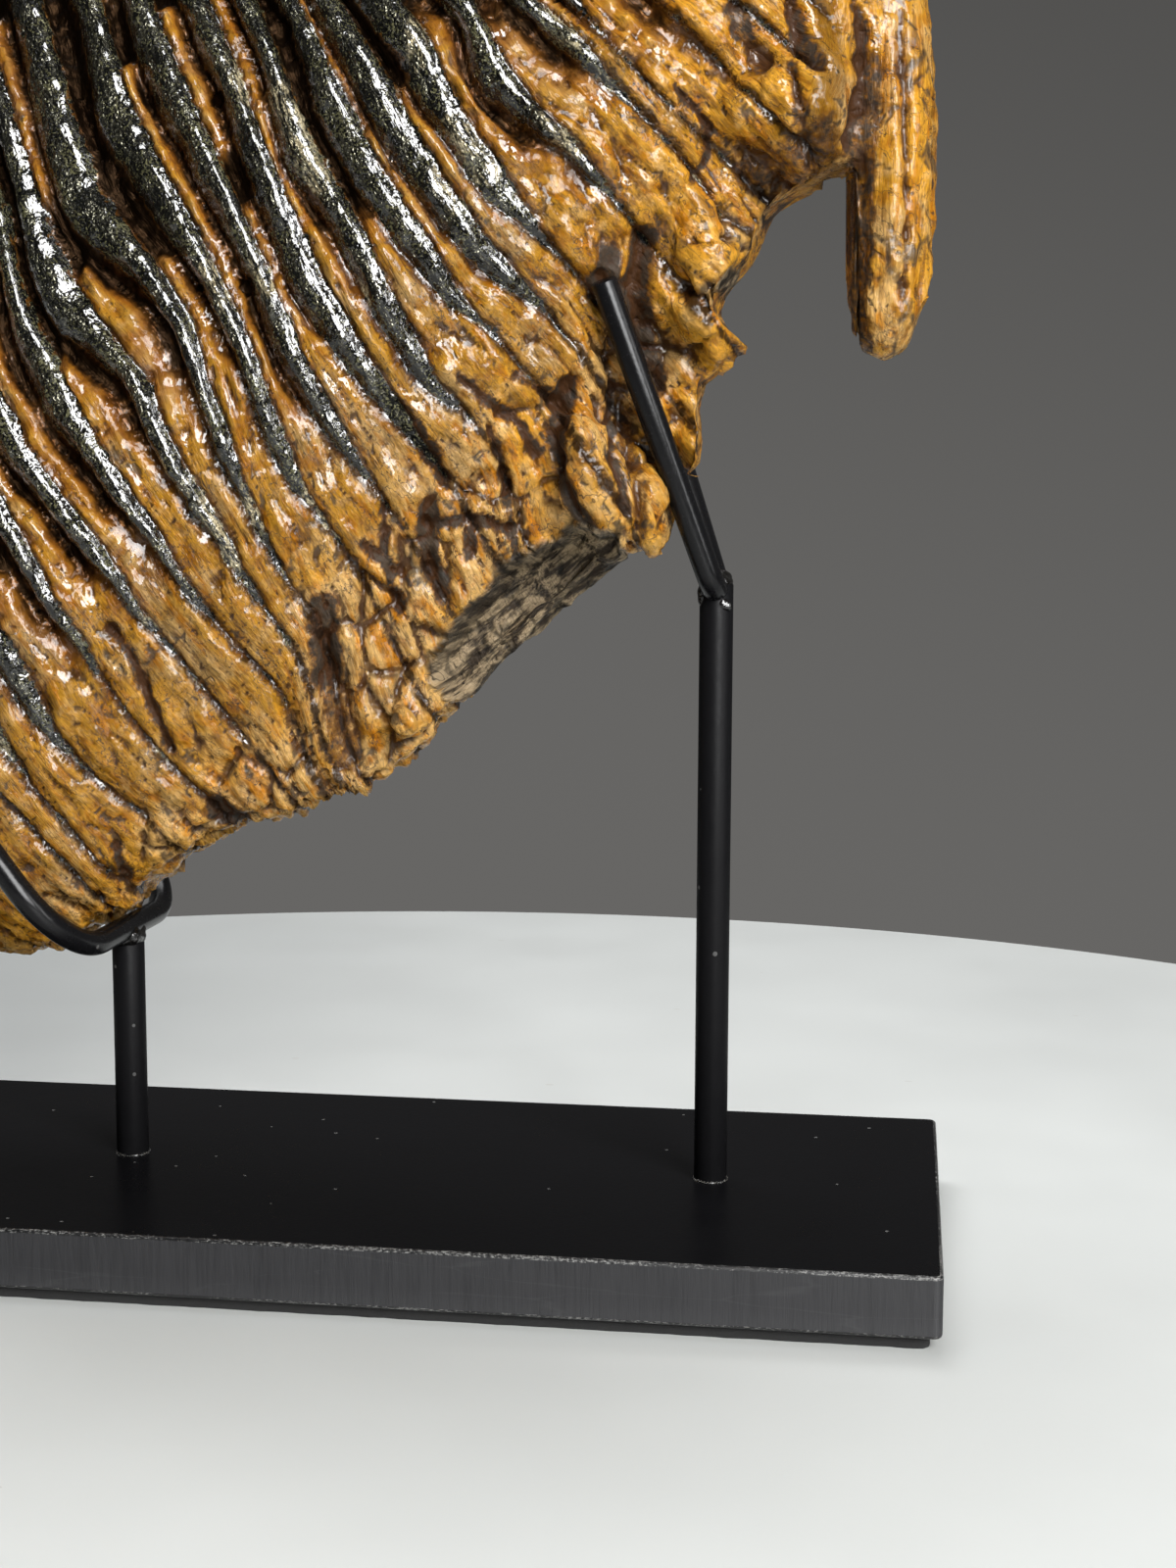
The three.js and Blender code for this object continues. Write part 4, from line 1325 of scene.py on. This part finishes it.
def cementum_finish(tree, fossil, cracks, settings):
    """Ochre, orange and tan streaked along the plates, with painted light on raised places; also where dark
    infill and painted shade fill it.
    """
    broad = cloudy(tree, fossil.mm, 0.05, detail=4.0)
    streaks = cloudy(tree, fossil.along, 1.0, detail=2.0, roughness=0.62)
    golden = fade(tree, place(tree, "SeparateXYZ", {0: fossil.mm}).outputs["X"], 50.0, 105.0)
    leaning = minus(tree, times(tree, fossil.rooty, 0.12), times(tree, golden, 0.10))
    tan_share = fade(tree, plus(tree, broad, leaning), 0.48, 0.64)
    cementum = mixed(tree, tan_share, tuple(settings.ochre), tuple(settings.tan))
    cementum = mixed(tree, fade(tree, streaks, 0.48, 0.66), cementum, tuple(settings.orange))
    patches = cloudy(tree, fossil.mm, 0.2, detail=3.5, roughness=0.68)
    cementum = washed(tree, cementum, PALE_HONEY, fade(tree, patches, 0.52, 0.68), 0.55)
    cementum = washed(tree, cementum, BURNT_ORANGE, fade(tree, patches, 0.47, 0.33), 0.65)
    browns = cloudy(tree, scaled(tree, fossil.along, 0.8), 1.3, detail=2.0, roughness=0.72)
    cementum = washed(tree, cementum, BROWN_STREAK, fade(tree, browns, 0.51, 0.70), 0.75)
    fibre_shade = mixed(tree, fossil.fibres["Value"], FIBRE_DARK, FIBRE_LIGHT)
    cementum = mixed(tree, 0.5, cementum, fibre_shade, "OVERLAY")
    pepper = fade(tree, cloudy(tree, fossil.mm, 1.5, detail=1.0), 0.60, 0.68)
    cementum = washed(tree, cementum, PEPPER_BROWN, pepper, fade(tree, fossil.grain_share, 0.45, 0.6), 0.7)
    glow = between(tree, largest(tree, golden, fossil.rooty), 0.90, 1.29)
    cementum = mixed(tree, 1.0, cementum, glow, "MULTIPLY")
    # painted light: places that stand above their surroundings lighter gold
    cementum = washed(tree, cementum, RAISED_PAINTED_LIGHT_GOLD, fade(tree, fossil.hollow, -0.05, -0.7), 0.25)
    ragged = times(tree, minus(tree, cloudy(tree, fossil.mm, 0.55, 2.0), 0.5), 1.3)
    # the strokes' darkness: dark infill, and painted shade under the bulb and down the finger's left side
    filled = plus(tree, attribute(tree, "infill_and_painted_shade"), ragged)
    cementum = washed(tree, cementum, INFILL_AND_SHADE_RIM, fade(tree, filled, 0.1, 0.5), 0.8)
    infill_and_shade_patch = times(tree, fade(tree, cloudy(tree, fossil.mm, 0.09, 4.0), 0.64, 0.74), fossil.rooty)
    infill_and_shade_patch = largest(tree, infill_and_shade_patch, fade(tree, filled, 0.42, 0.8))
    infill = mixed(tree, fossil.grains, dimmer(settings.infill, 0.3), dimmer(settings.infill, 1.6))
    cementum = washed(tree, cementum, infill, infill_and_shade_patch, 0.85)
    return washed(tree, cementum, tuple(settings.infill), cracks, 0.8), infill_and_shade_patch


def stained_and_shaded(tree, fossil, shade):
    """Rusty ledges; brown on the flanks next to the enamel, in hollows and where the cementum lies deep,
    partly stain and partly painted shade; black in the deep gaps, partly dark stain and partly painted shade;
    and a dark seam of painted shade along the enamel.
    """
    # partly stain, partly painted shade: cementum darkened next to the enamel rolls, in hollows and where it
    # lies deep
    flank_shade = times(tree, fade(tree, fossil.edge, 1.5, 0.2), 0.85)
    shaded = fade(tree, plus(tree, fossil.hollow, times(tree, fossil.waver, 0.12)), 0.04, 0.46)
    stain_and_shade = largest(tree, fade(tree, plus(tree, fossil.sunken, fossil.waver), 1.6, 3.8), flank_shade, shaded)
    shade = washed(tree, shade, LEDGE_RUST, fade(tree, fossil.sunken, 0.9, 2.2), fossil.off_enamel, 0.6)
    shade = washed(tree, shade, HOLLOW_STAIN_AND_SHADE_BROWN, stain_and_shade, 0.8, fossil.off_enamel)
    # partly dark stain, partly painted shade: the deep gaps black
    shade = washed(tree, shade, GAP_STAIN_AND_SHADE_BLACK, fossil.deep, 0.93)
    # painted shade: a dark seam in the crease where the cementum meets the enamel
    return washed(tree, shade, SEAM_SHADE_BLACK, fade(tree, fossil.edge, 0.8, 0.1), fossil.off_enamel, 0.8)


def broken_wall(tree, fossil, cracks):
    """Dull grey-brown splinters of the inner wall, with painted shade in small recesses."""
    inner = mixed(tree, fade(tree, fossil.splinters, 0.40, 0.60), SPLINTER_DARK, SPLINTER_LIGHT)
    # painted shade: dark patches for the shade in small recesses of the broken wall
    recess_shade = fade(tree, cloudy(tree, fossil.mm, 0.13, detail=3.0), 0.54, 0.66)
    inner = washed(tree, inner, WALL_RECESS_SHADE, recess_shade, 0.7)
    return washed(tree, inner, WALL_CRACK, cracks, 0.8)


def chewed_surface(tree, fossil):
    """Pale enamel bands round brown dentine, with ochre cementum between."""
    off_band = attribute(tree, "chewing_edge")
    bands = plus(tree, calculate(tree, "ABSOLUTE", off_band), times(tree, fossil.waver, 0.25))
    chewed = mixed(tree, fade(tree, off_band, 0.3, -0.3), CHEWED_CEMENTUM, CHEWED_DENTINE)
    return mixed(tree, fade(tree, bands, 1.3, 0.7), chewed,
                 mixed(tree, fossil.grains, CHEWED_ENAMEL_DARK, CHEWED_ENAMEL_LIGHT))


def fossil_normals(tree, fossil):
    """The normals of the surface and of the varnish on it."""
    creases = calculate(tree, "ABSOLUTE", minus(tree, cloudy(tree, fossil.mm, 0.75, detail=1.0), 0.5))
    pitted = plus(tree, times(tree, cloudy(tree, fossil.mm, 1.0, detail=1.0), 2.0), times(tree, creases, 5.0))
    lumpy = times(tree, cloudy(tree, fossil.mm, 0.4, detail=1.5), 1.6)
    fibrous = plus(tree, lumpy, times(tree, fossil.fibres["Height"], 1.5))
    height = plus(tree, lifted(tree, fossil.is_ridge, fibrous, pitted),
                  times(tree, fossil.splinters, fossil.broken, 5.0))
    height = minus(tree, height, times(tree, fade(tree, fossil.crevice, 0.35, 0.9), 0.7))
    ripples = cloudy(tree, scaled(tree, fossil.flow, (1.3, 0.3, 0.7)), 1.0, detail=1.0, roughness=0.6)
    varnish_height = lifted(tree, fossil.is_ridge, plus(tree, times(tree, lumpy, 2.4), ripples),
                            plus(tree, times(tree, creases, 2.1), times(tree, ripples, 1.4)))
    return bumped(tree, height, 0.35 * MM), bumped(tree, varnish_height, 0.1 * MM)


def fossil_material(settings):
    """Bare fossil under a coat of varnish that dries up in the gaps, the infill and the broken wall."""
    material, tree, shader = new_material("varnished fossil")
    fossil = FossilPatterns(tree)
    cracks = crack_mask(tree, fossil)
    enamel, foil = enamel_finish(tree, fossil, settings)
    cementum, infill_and_shade_patch = cementum_finish(tree, fossil, cracks, settings)
    shade = stained_and_shaded(tree, fossil, mixed(tree, fossil.is_enamel, cementum, enamel))
    shade = mixed(tree, fossil.broken, shade, broken_wall(tree, fossil, cracks))
    shade = mixed(tree, attribute(tree, "chewing"), shade, chewed_surface(tree, fossil))
    dry = largest(tree, fossil.broken, infill_and_shade_patch, fossil.deep)
    wet = times(tree, fade(tree, fossil.grain_share, 0.42, 0.68), times(tree, fossil.up_side, 0.75))
    wet = between(tree, largest(tree, wet, fossil.is_enamel), 0.2, 1.0)
    surface_normal, varnish_normal = fossil_normals(tree, fossil)
    connect(tree, shader, colour=shade, normal=surface_normal, coat_normal=varnish_normal,
            roughness=largest(tree, between(tree, dry, 0.2, 0.5), times(tree, foil, 0.3)),
            metallic=largest(tree, fossil.deep, foil),
            coat=times(tree, minus(tree, 1.0, dry), wet))
    shader.inputs["Specular IOR Level"].default_value = 0.06
    shader.inputs["Coat Roughness"].default_value = 0.1
    return material


# ---------------------------------------------------------------- operators and panel

class OBJECT_OT_fossil_tooth(bpy.types.Operator):
    """Build the tooth with its plates, roots and varnish"""
    bl_idname = "object.fossil_tooth"
    bl_label = "Mammoth tooth"

    def execute(self, context):
        make_tooth(context.scene.fossil_tooth)
        return {"FINISHED"}


class OBJECT_OT_stand_rods(bpy.types.Operator):
    """Build the cradle rod and the fork rod"""
    bl_idname = "object.stand_rods"
    bl_label = "Bent rods"

    def execute(self, context):
        make_rods(context.scene.fossil_stand)
        return {"FINISHED"}


class OBJECT_OT_stand_posts(bpy.types.Operator):
    """Build both posts with their weld beads and foot rings"""
    bl_idname = "object.stand_posts"
    bl_label = "Posts and welds"

    def execute(self, context):
        make_posts(context.scene.fossil_stand)
        return {"FINISHED"}


class OBJECT_OT_stand_base(bpy.types.Operator):
    """Build the base plate and the felt under it"""
    bl_idname = "object.stand_base"
    bl_label = "Base and felt"

    def execute(self, context):
        make_base_plate(context.scene.fossil_stand)
        make_felt()
        return {"FINISHED"}


class OBJECT_OT_fossil_stage(bpy.types.Operator):
    """Set the table, the backdrop, the lights and the camera"""
    bl_idname = "object.fossil_stage"
    bl_label = "Stage"

    def execute(self, context):
        make_camera()
        make_table(context.scene.fossil_stage)
        make_lights(context.scene.fossil_stage)
        return {"FINISHED"}


OPERATORS = (OBJECT_OT_stand_base, OBJECT_OT_stand_posts, OBJECT_OT_stand_rods, OBJECT_OT_fossil_tooth,
             OBJECT_OT_fossil_stage)


class VIEW3D_PT_fossil_tooth(bpy.types.Panel):
    """Lists the steps that build the tooth and its stand"""
    bl_label = "Fossil Mammoth Tooth"
    bl_idname = "VIEW3D_PT_fossil_tooth"
    bl_space_type = "VIEW_3D"
    bl_region_type = "UI"
    bl_category = "Fossil Tooth"

    def draw(self, context):
        for operator in OPERATORS:
            self.layout.operator(operator.bl_idname)
        for group in (context.scene.fossil_tooth, context.scene.fossil_stand, context.scene.fossil_stage):
            box = self.layout.box()
            for name in group.__annotations__:
                box.prop(group, name)


SETTINGS = {"fossil_tooth": ToothSettings, "fossil_stand": StandSettings, "fossil_stage": StageSettings}


def register():
    for cls in (*SETTINGS.values(), *OPERATORS, VIEW3D_PT_fossil_tooth):
        bpy.utils.register_class(cls)
    for name, cls in SETTINGS.items():
        setattr(bpy.types.Scene, name, PointerProperty(type=cls))


def unregister():
    for name in SETTINGS:
        delattr(bpy.types.Scene, name)
    for cls in (VIEW3D_PT_fossil_tooth, *reversed(OPERATORS), *reversed(SETTINGS.values())):
        bpy.utils.unregister_class(cls)


def main():
    register()
    bpy.ops.object.stand_base()
    bpy.ops.object.stand_posts()
    bpy.ops.object.stand_rods()
    bpy.ops.object.fossil_tooth()
    bpy.ops.object.fossil_stage()


if __name__ == "__main__":
    main()
